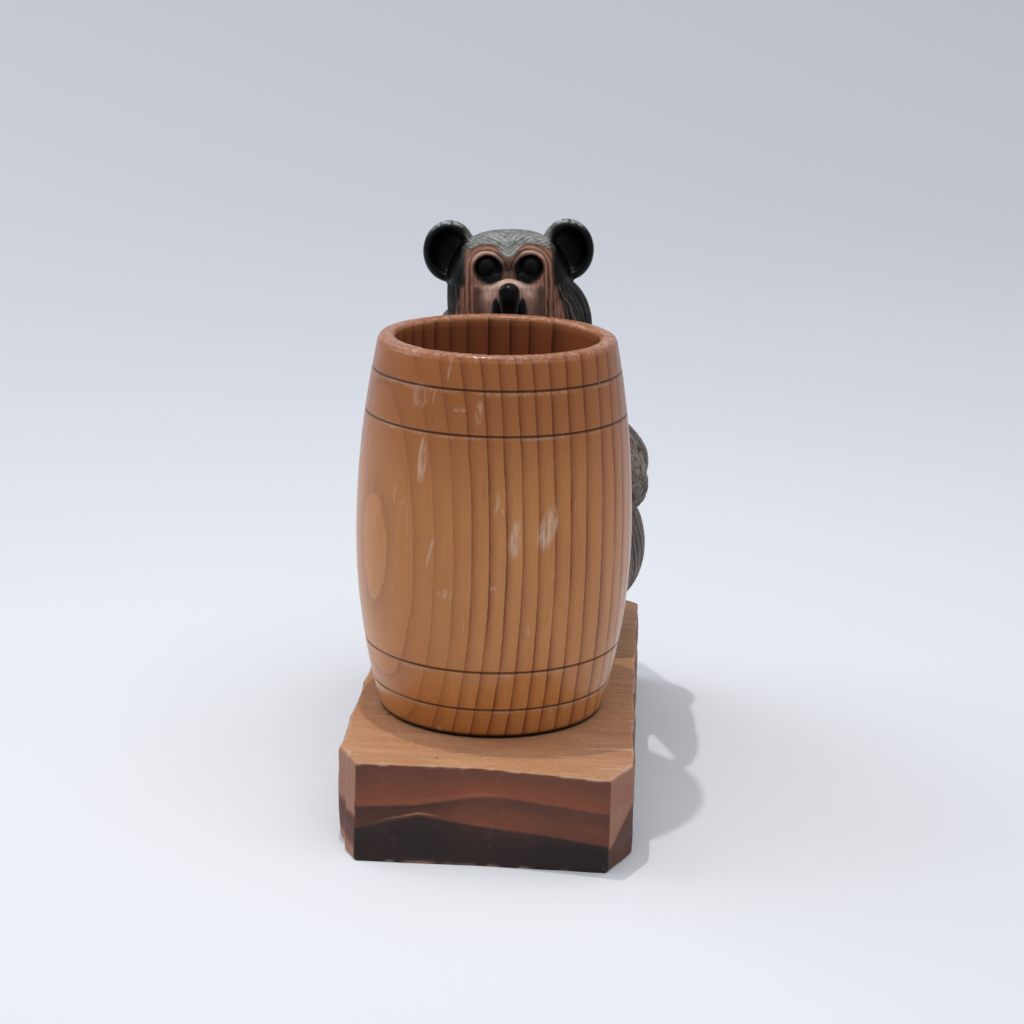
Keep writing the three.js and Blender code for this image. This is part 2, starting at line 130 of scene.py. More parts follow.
def make_piece(name, points, faces, attributes, material):
    """A mesh object at the origin, from points in metres, faces, and numbers per point by name."""
    if isinstance(faces, list):
        sizes = np.array([len(face) for face in faces], np.int32)
        flat = np.concatenate([np.asarray(face, np.int32) for face in faces])
    else:
        sizes = np.full(len(faces), faces.shape[1], np.int32)
        flat = faces.reshape(-1).astype(np.int32)
    starts = np.concatenate([[0], np.cumsum(sizes)[:-1]]).astype(np.int32)
    mesh = bpy.data.meshes.new(name)
    mesh.vertices.add(len(points))
    mesh.vertices.foreach_set("co", np.asarray(points, np.float32).ravel())
    mesh.loops.add(len(flat))
    mesh.loops.foreach_set("vertex_index", flat)
    mesh.polygons.add(len(sizes))
    mesh.polygons.foreach_set("loop_start", starts)
    mesh.polygons.foreach_set("loop_total", sizes)
    mesh.polygons.foreach_set("use_smooth", np.ones(len(sizes), bool))
    mesh.update(calc_edges=True)
    mesh.validate()
    for key, values in attributes.items():
        layer = mesh.attributes.new(key, "FLOAT", "POINT")
        layer.data.foreach_set("value", np.asarray(values, np.float32))
    if material:
        mesh.materials.append(material)
    piece = bpy.data.objects.new(name, mesh)
    bpy.context.scene.collection.objects.link(piece)
    return piece


def ring_faces(rows, columns):
    """Quads of a grid of rings that closes on itself sideways, wound to face outwards on rising rings."""
    row = np.arange(rows - 1)[:, None]
    column = np.arange(columns)[None, :]
    after = (column + 1) % columns
    low = row * columns
    high = low + columns
    quads = np.stack([low + column, low + after, high + after, high + column], axis=-1)
    return quads.reshape(-1, 4)


def closed_rings(rings):
    """Points and faces of a shell made of rings, its first and last ring drawn together in one point each."""
    rows, columns, _ = rings.shape
    points = np.concatenate([rings.reshape(-1, 3), rings[0].mean(0)[None], rings[-1].mean(0)[None]])
    quads = ring_faces(rows, columns)
    column = np.arange(columns)
    after = (column + 1) % columns
    first = rows * columns
    last = first + 1
    high = (rows - 1) * columns
    foot = np.stack([after, column, np.full(columns, first)], axis=-1)
    head = np.stack([high + column, high + after, np.full(columns, last)], axis=-1)
    faces = quads.tolist() + foot.tolist() + head.tolist()
    return points, faces


# Materials.


def linear(colour):
    """Linear red, green, blue and alpha of an sRGB hex colour."""
    parts = [int(colour[i : i + 2], 16) / 255.0 for i in (1, 3, 5)]
    turned = [c / 12.92 if c <= 0.04045 else ((c + 0.055) / 1.055) ** 2.4 for c in parts]
    return (*turned, 1.0)


def new_material(name):
    """An empty node material, with its node tree and its shader."""
    material = bpy.data.materials.new(name)
    material.use_nodes = True
    tree = material.node_tree
    return material, tree, tree.nodes["Principled BSDF"]


def add(tree, kind, links, out=0, stops=(), **settings):
    """One node with its settings, given back as the output asked for.

    Links gives each input a value or the output that feeds it. Stops are a ramp's pairs of place and grey.
    """
    node = tree.nodes.new("ShaderNode" + kind)
    for key, value in settings.items():
        setattr(node, key, value)
    for key, value in links.items():
        if isinstance(value, bpy.types.NodeSocket):
            tree.links.new(value, node.inputs[key])
        else:
            node.inputs[key].default_value = value
    if stops:
        elements = node.color_ramp.elements
        while len(elements) < len(stops):
            elements.new(0.5)
        for element, (place, grey) in zip(elements, stops):
            element.position = place
            element.color = (grey, grey, grey, 1.0)
    return node.outputs[out]


def coated(tree, wood, coats):
    """The wood's colour under its coats, from the lowest up.

    Each coat is where it shows, from 0 to 1, how strong it is at most, and its colour.
    """
    for shows, most, colour in coats:
        part = add(tree, "Math", {0: shows, 1: most}, operation="MULTIPLY")
        links = {0: part, 6: wood, 7: colour}
        wood = add(tree, "Mix", links, out=2, data_type="RGBA", clamp_factor=True)
    return wood


STRAIGHT = (0.0, 0.0, 0.0)


def varnished_pine():
    """Turned pine under a clear gloss varnish.

    Honey-brown early wood, redder towards the rim, with growth lines that are sharp and dark on one edge and
    fade on the other, fine pores along the turned height, a clear coat, and pale rubs where it is worn.
    """
    material, tree, shader = new_material("varnished pine")
    place = add(tree, "TexCoord", {}, out="Object")
    kept = {}
    for name in ("ring_phase", "lined", "high", "inside", "groove", "rub", "rim"):
        kept[name] = add(tree, "Attribute", {}, out="Fac", attribute_name=name)
    # Noises drawn out along the fibres, which stand upright: cells per metre, detail, stretch and turn.
    noises = {}
    for name, scale, detail, stretch, turn in (
        ("fibres", 420.0, 4.0, (1.0, 1.0, 0.06), STRAIGHT),  # 2.4 mm wide: the real ones are too fine to show
        ("teeth", 1500.0, 2.0, (1.0, 1.0, 0.3), STRAIGHT),  # 0.7 mm, on the edge of a growth line
        ("pores", 1900.0, 3.0, (1.0, 1.0, 0.035), STRAIGHT),  # 0.5 mm wide, coarser than the real ones
        ("clouds", 38.0, 3.0, (1.0, 1.0, 0.45), STRAIGHT),  # 26 mm patches of lighter wood
        ("uneven", 90.0, 3.0, (1.0, 1.0, 0.5), STRAIGHT),  # 11 mm, where a growth line is strong or weak
        ("streaks", 1300.0, 3.0, (1.0, 1.0, 0.16), (0.12, 0.0, 0.0)),  # 0.8 mm streaks in a rub
        ("nicks", 480.0, 2.0, (1.0, 1.0, 0.13), (0.35, 0.2, 0.0)),  # short scratches 2 mm apart
        ("flakes", 700.0, 3.0, (1.0, 1.0, 1.0), STRAIGHT),  # 1.4 mm chips of varnish
    ):
        drawn = add(tree, "Mapping", {"Vector": place, "Scale": stretch, "Rotation": turn})
        links = {"Vector": drawn, "Scale": scale, "Detail": detail, "Roughness": 0.55}
        noises[name] = add(tree, "TexNoise", links)

    # Growth lines: the phase with a toothed edge, dark at its start and fading, stronger in some places.
    teeth = add(tree, "Math", {0: noises["teeth"], 1: 0.5}, operation="SUBTRACT")
    teeth = add(tree, "Math", {0: teeth, 1: 0.09}, operation="MULTIPLY")
    passed = add(tree, "Math", {0: kept["ring_phase"], 1: teeth}, operation="ADD")
    line = add(tree, "Math", {0: passed}, operation="FRACT")
    fading = ((0.0, 1.0), (0.05, 0.9), (0.16, 0.45), (0.42, 0.1), (0.6, 0.0), (0.985, 0.0), (1.0, 0.9))
    late = add(tree, "ValToRGB", {"Fac": line}, stops=fading)
    by_fibres = add(tree, "Math", {0: noises["fibres"], 1: 0.6}, operation="MULTIPLY")
    by_place = add(tree, "Math", {0: noises["uneven"], 1: 1.15}, operation="MULTIPLY")
    patchy = add(tree, "Math", {0: by_fibres, 1: by_place}, operation="ADD")
    strength = add(tree, "Math", {0: late, 1: patchy}, operation="MULTIPLY", use_clamp=True)
    # Fainter growth lines on the left side stand in for a reflection there: painted sheen.
    strength = add(tree, "Math", {0: strength, 1: kept["lined"]}, operation="MULTIPLY")

    # Pores, rubs that break up into streaks, short nicks on the outside, and flakes along the rim.
    pore_stops = ((0.0, 1.0), (0.33, 0.55), (0.42, 0.0), (1.0, 0.0))
    pores = add(tree, "ValToRGB", {"Fac": noises["pores"]}, stops=pore_stops)
    streaks = add(tree, "ValToRGB", {"Fac": noises["streaks"]}, stops=((0.36, 0.0), (0.62, 1.0)))
    broken = add(tree, "Math", {0: kept["rub"], 1: streaks}, operation="MULTIPLY")
    nick_stops = ((0.0, 0.0), (0.705, 0.0), (0.735, 1.0), (1.0, 1.0))
    nicks = add(tree, "ValToRGB", {"Fac": noises["nicks"]}, stops=nick_stops)
    outside = add(tree, "Math", {0: 0.5, 1: kept["inside"]}, operation="SUBTRACT", use_clamp=True)
    nicks = add(tree, "Math", {0: nicks, 1: outside}, operation="MULTIPLY")
    flake_stops = ((0.0, 0.0), (0.5, 0.0), (0.6, 1.0), (1.0, 1.0))
    flakes = add(tree, "ValToRGB", {"Fac": noises["flakes"]}, stops=flake_stops)
    flakes = add(tree, "Math", {0: kept["rim"], 1: flakes}, operation="MULTIPLY")

    clouds = add(tree, "ValToRGB", {"Fac": noises["clouds"]}, stops=((0.3, 0.0), (0.7, 1.0)))
    bore = coated(tree, linear("#8E5032"), [(strength, 1.0, linear("#4A2716"))])
    coats = (
        (clouds, 1.0, linear("#CA8A52")),
        (kept["high"], 1.0, linear("#9C5B2E")),
        (noises["fibres"], 0.45, linear("#A86A36")),
        (strength, 1.0, linear("#70300F")),
        (pores, 0.3, linear("#6A3C20")),
        (kept["inside"], 1.0, bore),
        # The grooves' dark colour, which also paints the contact shadow along the foot.
        (kept["groove"], 1.0, linear("#2E170B")),
        (broken, 0.75, linear("#D2B79E")),
        (nicks, 0.6, linear("#CDAF95")),
        (kept["rim"], 0.75, linear("#8F573C")),
        (flakes, 0.3, linear("#D3B5A0")),
    )
    tree.links.new(coated(tree, linear("#B9763F"), coats), shader.inputs["Base Color"])

    dulled = add(tree, "Math", {0: broken, 1: 0.3}, operation="MULTIPLY")
    rough = add(tree, "Math", {0: dulled, 1: 0.34}, operation="ADD")
    tree.links.new(rough, shader.inputs["Roughness"])
    shader.inputs["Specular IOR Level"].default_value = 0.2
    shader.inputs["Coat Weight"].default_value = 0.3
    shader.inputs["Coat Roughness"].default_value = 0.12
    fibres = add(tree, "Math", {0: noises["fibres"], 1: 0.4}, operation="MULTIPLY")
    lines = add(tree, "Math", {0: late, 1: 0.5}, operation="MULTIPLY")
    height = add(tree, "Math", {0: fibres, 1: lines}, operation="ADD")
    relief = add(tree, "Bump", {"Strength": 0.14, "Distance": 0.0002, "Height": height})
    tree.links.new(relief, shader.inputs["Normal"])
    return material


def hewn_pine():
    """Pine plank, stained and hewn: dull orange-tan on top with cross grain, pale flecks and fine scratches.

    The axe-cut ends are stained red-brown above and nearly black below, with lighter worn edges.
    """
    material, tree, shader = new_material("hewn stained pine")
    place = add(tree, "TexCoord", {}, out="Object")
    # Noises drawn out along the fibres, which lie across the plank: cells per metre, detail, roughness,
    # stretch and turn.
    noises = {}
    for name, scale, detail, rough, stretch, turn in (
        ("fibres", 330.0, 5.0, 0.65, (0.14, 1.0, 1.0), STRAIGHT),  # bands of grain 3 mm wide
        ("flecks", 1700.0, 3.0, 0.55, (0.3, 1.0, 1.0), STRAIGHT),  # 0.6 mm
        ("clouds", 42.0, 4.0, 0.55, (1.0, 1.0, 1.0), STRAIGHT),  # 24 mm, where the stain took unevenly
        ("scratches", 520.0, 2.0, 0.55, (0.05, 1.0, 1.0), (0.0, 0.0, 0.35)),  # 2 mm apart, aslant
        ("pits", 420.0, 1.0, 0.55, (1.0, 1.0, 1.0), STRAIGHT),  # specks 2.4 mm apart
        ("side_fibres", 420.0, 5.0, 0.6, (0.12, 1.0, 1.0), STRAIGHT),  # 2.4 mm wide
        ("dust", 150.0, 5.0, 0.7, (1.0, 1.0, 1.0), STRAIGHT),  # pale rubs 7 mm wide
    ):
        drawn = add(tree, "Mapping", {"Vector": place, "Scale": stretch, "Rotation": turn})
        links = {"Vector": drawn, "Scale": scale, "Detail": detail, "Roughness": rough}
        noises[name] = add(tree, "TexNoise", links)

    # Painted contact shadow: a dark ring on the plank round the barrel's foot, by the distance from the
    # barrel's axis.
    off_x = add(tree, "SeparateXYZ", {0: place}, out=0)
    off_x = add(tree, "Math", {0: off_x, 1: BARREL_X / 1000.0}, operation="SUBTRACT")
    off_y = add(tree, "SeparateXYZ", {0: place}, out=1)
    off_y = add(tree, "Math", {0: off_y, 1: BARREL_Y / 1000.0}, operation="SUBTRACT")
    square_x = add(tree, "Math", {0: off_x, 1: off_x}, operation="MULTIPLY")
    square_y = add(tree, "Math", {0: off_y, 1: off_y}, operation="MULTIPLY")
    away = add(tree, "Math", {0: square_x, 1: square_y}, operation="ADD")
    away = add(tree, "Math", {0: away}, operation="SQRT")
    painted_foot_shadow = add(tree, "MapRange", {0: away, 1: FOOT_SHADOW_OUT / 1000.0, 2: FOOT_SHADOW_IN / 1000.0})

    fibres = add(tree, "ValToRGB", {"Fac": noises["fibres"]}, stops=((0.3, 0.0), (0.7, 1.0)))
    clouds = add(tree, "ValToRGB", {"Fac": noises["clouds"]}, stops=((0.35, 0.0), (0.7, 0.6)))
    fleck_stops = ((0.0, 0.0), (0.56, 0.0), (0.7, 1.0), (1.0, 1.0))
    flecks = add(tree, "ValToRGB", {"Fac": noises["flecks"]}, stops=fleck_stops)
    scratch_stops = ((0.0, 0.0), (0.65, 0.0), (0.7, 1.0), (1.0, 1.0))
    scratches = add(tree, "ValToRGB", {"Fac": noises["scratches"]}, stops=scratch_stops)
    pit_stops = ((0.0, 1.0), (0.23, 1.0), (0.26, 0.0), (1.0, 0.0))
    pits = add(tree, "ValToRGB", {"Fac": noises["pits"]}, stops=pit_stops)
    top_coats = (
        (fibres, 1.0, linear("#AD7A54")),
        (clouds, 1.0, linear("#BD8156")),
        (flecks, 0.4, linear("#DDBDA1")),
        (scratches, 0.45, linear("#DCC4B0")),
        # Painted contact shadow round the barrel's foot.
        (painted_foot_shadow, 1.0, linear("#2A1A12")),
        (pits, 0.6, linear("#5B3A28")),
    )
    top = coated(tree, linear("#C99A74"), top_coats)

    # The hewn ends: the stain's tone, made uneven by the clouds, goes from nearly black through red to bare.
    tone = add(tree, "Attribute", {}, out="Fac", attribute_name="tone")
    wobble = add(tree, "Math", {0: noises["clouds"], 1: 0.5}, operation="SUBTRACT")
    wobble = add(tree, "Math", {0: wobble, 1: 0.3}, operation="MULTIPLY")
    tone = add(tree, "Math", {0: tone, 1: wobble}, operation="ADD")
    brown = add(tree, "ValToRGB", {"Fac": tone}, stops=((0.0, 0.0), (0.42, 1.0)))
    red = add(tree, "ValToRGB", {"Fac": tone}, stops=((0.0, 0.0), (0.42, 0.0), (0.72, 1.0)))
    bare = add(tree, "ValToRGB", {"Fac": tone}, stops=((0.0, 0.0), (0.68, 0.0), (0.86, 1.0)))
    dust_stops = ((0.0, 0.0), (0.62, 0.0), (0.78, 1.0), (1.0, 1.0))
    dust = add(tree, "ValToRGB", {"Fac": noises["dust"]}, stops=dust_stops)
    upward = add(tree, "NewGeometry", {}, out="Normal")
    upward = add(tree, "SeparateXYZ", {0: upward}, out=2)
    level = add(tree, "MapRange", {0: upward, 1: 0.6, 2: 0.85})
    worn = add(tree, "Attribute", {}, out="Fac", attribute_name="worn")
    coats = (
        (brown, 1.0, linear("#5F3A2E")),
        (red, 1.0, linear("#98553A")),
        (bare, 1.0, linear("#AB8069")),
        (noises["side_fibres"], 0.25, linear("#3A241C")),
        (dust, 0.22, linear("#B98F78")),
        (level, 1.0, top),
        (worn, 1.0, linear("#C8A58B")),
    )
    tree.links.new(coated(tree, linear("#231A1B"), coats), shader.inputs["Base Color"])

    shader.inputs["Roughness"].default_value = 0.6
    shader.inputs["Specular IOR Level"].default_value = 0.3
    coarse = add(tree, "Math", {0: noises["fibres"], 1: 0.7}, operation="MULTIPLY")
    fine = add(tree, "Math", {0: noises["flecks"], 1: 0.6}, operation="MULTIPLY")
    height = add(tree, "Math", {0: coarse, 1: fine}, operation="ADD")
    relief = add(tree, "Bump", {"Strength": 0.5, "Distance": 0.0004, "Height": height})
    tree.links.new(relief, shader.inputs["Normal"])
    return material


# What the carving keeps per point for its stain.
KEPT = ("groove", "strand", "rubbed", "crown", "face", "snout", "light", "black", "gloss", "edge")
# Millimetres across the skin from one rubbed strand of fur to the next, and from one hair to the next.
STRAND_PITCH = 1.25
HAIR_PITCH = 0.52


def stained_carving():
    """Carved softwood, stained black and brown and dull varnished.

    Fine light lines where the stain is rubbed off the strands of fur, black in the cut grooves; the face is
    rust brown, the snout pinkish tan, the crown grey, and the nose, eyes and ear hollows are black.
    """
    material, tree, shader = new_material("stained carving")
    place = add(tree, "TexCoord", {}, out="Object")
    kept = {}
    for name in KEPT:
        kept[name] = add(tree, "Attribute", {}, out="Fac", attribute_name=name)
    # Even noises: cells per metre, detail and roughness.
    noises = {}
    for name, scale, detail, rough in (
        ("wander", 170.0, 3.0, 0.55),  # 6 mm
        ("patches", 110.0, 4.0, 0.55),  # 9 mm, where the stain is rubbed more or less
        ("specks", 900.0, 3.0, 0.55),  # 1.1 mm
        ("blotches", 330.0, 4.0, 0.65),  # 3 mm, on the grey crown
    ):
        links = {"Vector": place, "Scale": scale, "Detail": detail, "Roughness": rough}
        noises[name] = add(tree, "TexNoise", links)

    # Strands and the finer hairs in them are waves across the skin, which wander a little.
    wander = add(tree, "Math", {0: noises["wander"], 1: 1.6}, operation="MULTIPLY")
    across = add(tree, "Math", {0: kept["strand"], 1: wander}, operation="ADD")
    strands = add(tree, "Math", {0: across, 1: 2 * math.pi / STRAND_PITCH}, operation="MULTIPLY")
    strands = add(tree, "Math", {0: strands}, operation="SINE")
    strands = add(tree, "Math", {0: strands, 1: 0.5}, operation="MULTIPLY")
    strands = add(tree, "Math", {0: strands, 1: 0.5}, operation="ADD")
    hairs = add(tree, "Math", {0: across, 1: 2 * math.pi / HAIR_PITCH}, operation="MULTIPLY")
    hairs = add(tree, "Math", {0: hairs}, operation="SINE")
    strands = add(tree, "Math", {0: strands, 1: 0.7}, operation="MULTIPLY")
    hairs = add(tree, "Math", {0: hairs, 1: 0.18}, operation="MULTIPLY")
    fur = add(tree, "Math", {0: strands, 1: hairs}, operation="ADD", use_clamp=True)

    # Rubbed lines: on the ridges only, and in patches.
    ridge = add(tree, "Math", {0: 1.0, 1: kept["groove"]}, operation="SUBTRACT")
    line_stops = ((0.0, 0.0), (0.35, 0.12), (0.7, 0.75), (1.0, 1.0))
    lines = add(tree, "ValToRGB", {"Fac": fur}, stops=line_stops)
    lines = add(tree, "Math", {0: ridge, 1: lines}, operation="MULTIPLY")
    patches = add(tree, "ValToRGB", {"Fac": noises["patches"]}, stops=((0.3, 0.25), (0.62, 1.0)))
    lines = add(tree, "Math", {0: lines, 1: patches}, operation="MULTIPLY")
    rubbed = add(tree, "Math", {0: lines, 1: kept["rubbed"]}, operation="MULTIPLY")
    brown = add(tree, "Math", {0: kept["rubbed"], 1: 2.0}, operation="POWER")
    brown = add(tree, "Math", {0: brown, 1: ridge}, operation="MULTIPLY")

    blotches = add(tree, "ValToRGB", {"Fac": noises["blotches"]}, stops=((0.34, 0.0), (0.62, 1.0)))
    grey_coats = (
        (blotches, 1.0, linear("#94958F")),
        (lines, 0.7, linear("#B4B5B0")),
        (kept["groove"], 0.75, linear("#262624")),
    )
    crown = coated(tree, linear("#454644"), grey_coats)
    rust_coats = [(fur, 1.0, linear("#A1745E")), (kept["groove"], 1.0, linear("#2E1D18"))]
    face = coated(tree, linear("#674538"), rust_coats)
    tan_coats = [(fur, 1.0, linear("#8F6B5C")), (kept["groove"], 0.55, linear("#402B24"))]
    snout = coated(tree, linear("#785649"), tan_coats)
    specks = add(tree, "ValToRGB", {"Fac": noises["specks"]}, stops=((0.38, 0.15), (0.6, 1.0)))
    # Specks on the ear rims' upper faces: worn paint and painted highlight.
    edge = add(tree, "Math", {0: kept["edge"], 1: specks}, operation="MULTIPLY")
    coats = (
        (brown, 1.0, linear("#5B4E47")),
        (rubbed, 1.0, linear("#BDB2A7")),
        (kept["crown"], 1.0, crown),
        (kept["face"], 1.0, face),
        (kept["snout"], 1.0, snout),
        # Pale marks: pale stain, and painted highlight on upward ridges.
        (kept["light"], 1.0, linear("#CDB29F")),
        # Black paint, which also carries the painted shade on the snout's sides.
        (kept["black"], 1.0, linear("#030303")),
        (edge, 1.0, linear("#9DA19F")),
    )
    tree.links.new(coated(tree, linear("#0C0B0A"), coats), shader.inputs["Base Color"])

    glossed = add(tree, "Math", {0: kept["gloss"], 1: -0.36}, operation="MULTIPLY")
    rough = add(tree, "Math", {0: glossed, 1: 0.6}, operation="ADD")
    tree.links.new(rough, shader.inputs["Roughness"])
    shader.inputs["Specular IOR Level"].default_value = 0.13
    not_black = add(tree, "Math", {0: 1.0, 1: kept["black"]}, operation="SUBTRACT")
    raised = add(tree, "Math", {0: fur, 1: not_black}, operation="MULTIPLY")
    gritty = add(tree, "Math", {0: noises["specks"], 1: 0.2}, operation="MULTIPLY")
    height = add(tree, "Math", {0: raised, 1: gritty}, operation="ADD")
    relief = add(tree, "Bump", {"Strength": 0.45, "Distance": 0.0003, "Height": height})
    tree.links.new(relief, shader.inputs["Normal"])
    return material


# Barrel.


def barrel_radius(height):
    """Outside radius at a height: two parabolas that meet at the belly."""
    belly = BARREL_TALL * BELLY_AT
    end = np.where(height < belly, BARREL_FOOT_R, BARREL_RIM_R)
    span = np.where(height < belly, belly, BARREL_TALL - belly)
    part = (height - belly) / span
    return BARREL_BELLY_R - (BARREL_BELLY_R - end) * part * part


# Direction across the log, in degrees from the barrel's right-hand side.
GRAIN_LEAN = 35.0
# Growth lines counted across the log: the count at the axis, how many each millimetre adds there, and how
# fast that falls off outwards. Past the turn they settle 4 mm apart, after a pair that stands wider.
LINES_AT_AXIS = 8.852
LINES_PER_MM = 0.19966
LINES_THINNING = 0.001578
LINES_TURN = 12.0
LINES_PAST_TURN = 0.25


def ring_phase(x, y, z):
    """Number of growth lines passed on the way across the log: they lie in slowly curving planes."""
    lean = math.radians(GRAIN_LEAN)
    across = x * math.cos(lean) + y * math.sin(lean)
    points = np.stack([x, y, z * 0.3], axis=-1)
    across = across + 0.35 * noise(points, 14.0) + 0.16 * noise(points, 4.0)
    near = LINES_AT_AXIS + LINES_PER_MM * across - LINES_THINNING * across**2
    at_turn = LINES_AT_AXIS + LINES_PER_MM * LINES_TURN - LINES_THINNING * LINES_TURN**2
    past = np.maximum(across - LINES_TURN, 0.0)
    far = at_turn + LINES_PAST_TURN * past - 0.44 * (1.0 - np.exp(-past / 5.0))
    return np.where(across < LINES_TURN, near, far)


# Rubs in the varnish: angle round the barrel from its front in degrees, height, half length, half width, lean
# and strength.
RUBS = (
    (-28.0, 77.5, 7.5, 1.7, 0.02, 0.9),
    (-22.5, 53.0, 5.5, 0.5, 0.25, 0.8),
    (12.0, 58.0, 6.5, 2.0, 0.05, 0.75),
    (25.5, 60.5, 7.0, 3.2, 0.25, 0.9),
    (-16.0, 42.0, 1.5, 3.0, 0.0, 0.6),
    (4.0, 44.5, 0.8, 1.2, 0.5, 0.6),
    (-3.5, 91.0, 3.6, 1.3, 0.05, 0.6),
    (-32.0, 94.0, 4.0, 4.0, 0.0, 0.35),
    (-12.0, 91.5, 0.5, 2.6, 0.6, 0.6),
    (-37.0, 65.0, 0.6, 1.4, 0.0, 0.7),
    (4.5, 66.5, 2.6, 0.5, 0.5, 0.6),
    (-18.0, 103.0, 5.0, 0.5, 0.1, 0.7),
)


def worn_varnish(turn, height):
    """Strength of each pale rub: a soft oval on the unrolled side of the barrel, leaning a little."""
    total = np.zeros_like(turn)
    for angle, at, half_long, half_wide, lean, strength in RUBS:
        across = (turn - math.radians(angle)) * BARREL_BELLY_R
        up = height - at
        across = across - lean * up
        away = np.sqrt((across / half_wide) ** 2 + (up / half_long) ** 2)
        total = np.maximum(total, strength * (1.0 - smooth(0.55, 1.0, away)))
    return total


def barrel_profile():
    """Radius and height along the barrel's section, from its foot's middle round to its floor's."""
    heights = np.linspace(FOOT_ROUND, BARREL_TALL - FOOT_ROUND, 190)
    keep = np.ones(len(heights), bool)
    for groove in GROOVE_HEIGHTS:
        keep &= np.abs(heights - groove) > GROOVE_WIDE
    cuts = np.array([g + GROOVE_WIDE * s for g in GROOVE_HEIGHTS for s in np.linspace(-0.7, 0.7, 9)])
    heights = np.sort(np.concatenate([heights[keep], cuts]))
    depth = np.zeros(len(heights))
    for groove in GROOVE_HEIGHTS:
        depth += GROOVE_DEEP * np.clip(1.0 - np.abs(heights - groove) / (GROOVE_WIDE * 0.5), 0.0, 1.0)
    side = np.stack([barrel_radius(heights) - depth, heights], axis=-1)
    side = side[(side[:, 1] > FOOT_ROUND) & (side[:, 1] < BARREL_TALL - RIM_ROUND - 0.1)]
    bend = np.linspace(0.0, math.pi / 2, 5)
    out, up = 1.0 - np.cos(bend), 1.0 - np.sin(bend)
    foot = np.c_[BARREL_FOOT_R - FOOT_ROUND * up, FOOT_ROUND * out][:-1]
    rim_out = np.c_[BARREL_RIM_R - RIM_ROUND * out, BARREL_TALL - RIM_ROUND * up]
    rim_in = np.c_[BARREL_BORE_R + RIM_ROUND * up, BARREL_TALL - RIM_ROUND * out]
    down = np.linspace(BARREL_TALL - 1.6, BARREL_FLOOR + FLOOR_FILLET, 60)
    bore = np.c_[np.full(60, BARREL_BORE_R), down]
    fillet = np.c_[BARREL_BORE_R - FLOOR_FILLET * out, BARREL_FLOOR + FLOOR_FILLET * up]
    under = np.c_[np.linspace(0.5, BARREL_FOOT_R - 1.5, 6), np.zeros(6)]
    floor = np.c_[np.linspace(BARREL_BORE_R - 2.0, 0.5, 8), np.full(8, BARREL_FLOOR)]
    return np.concatenate([under, foot, side, rim_out, rim_in, bore, fillet, floor])


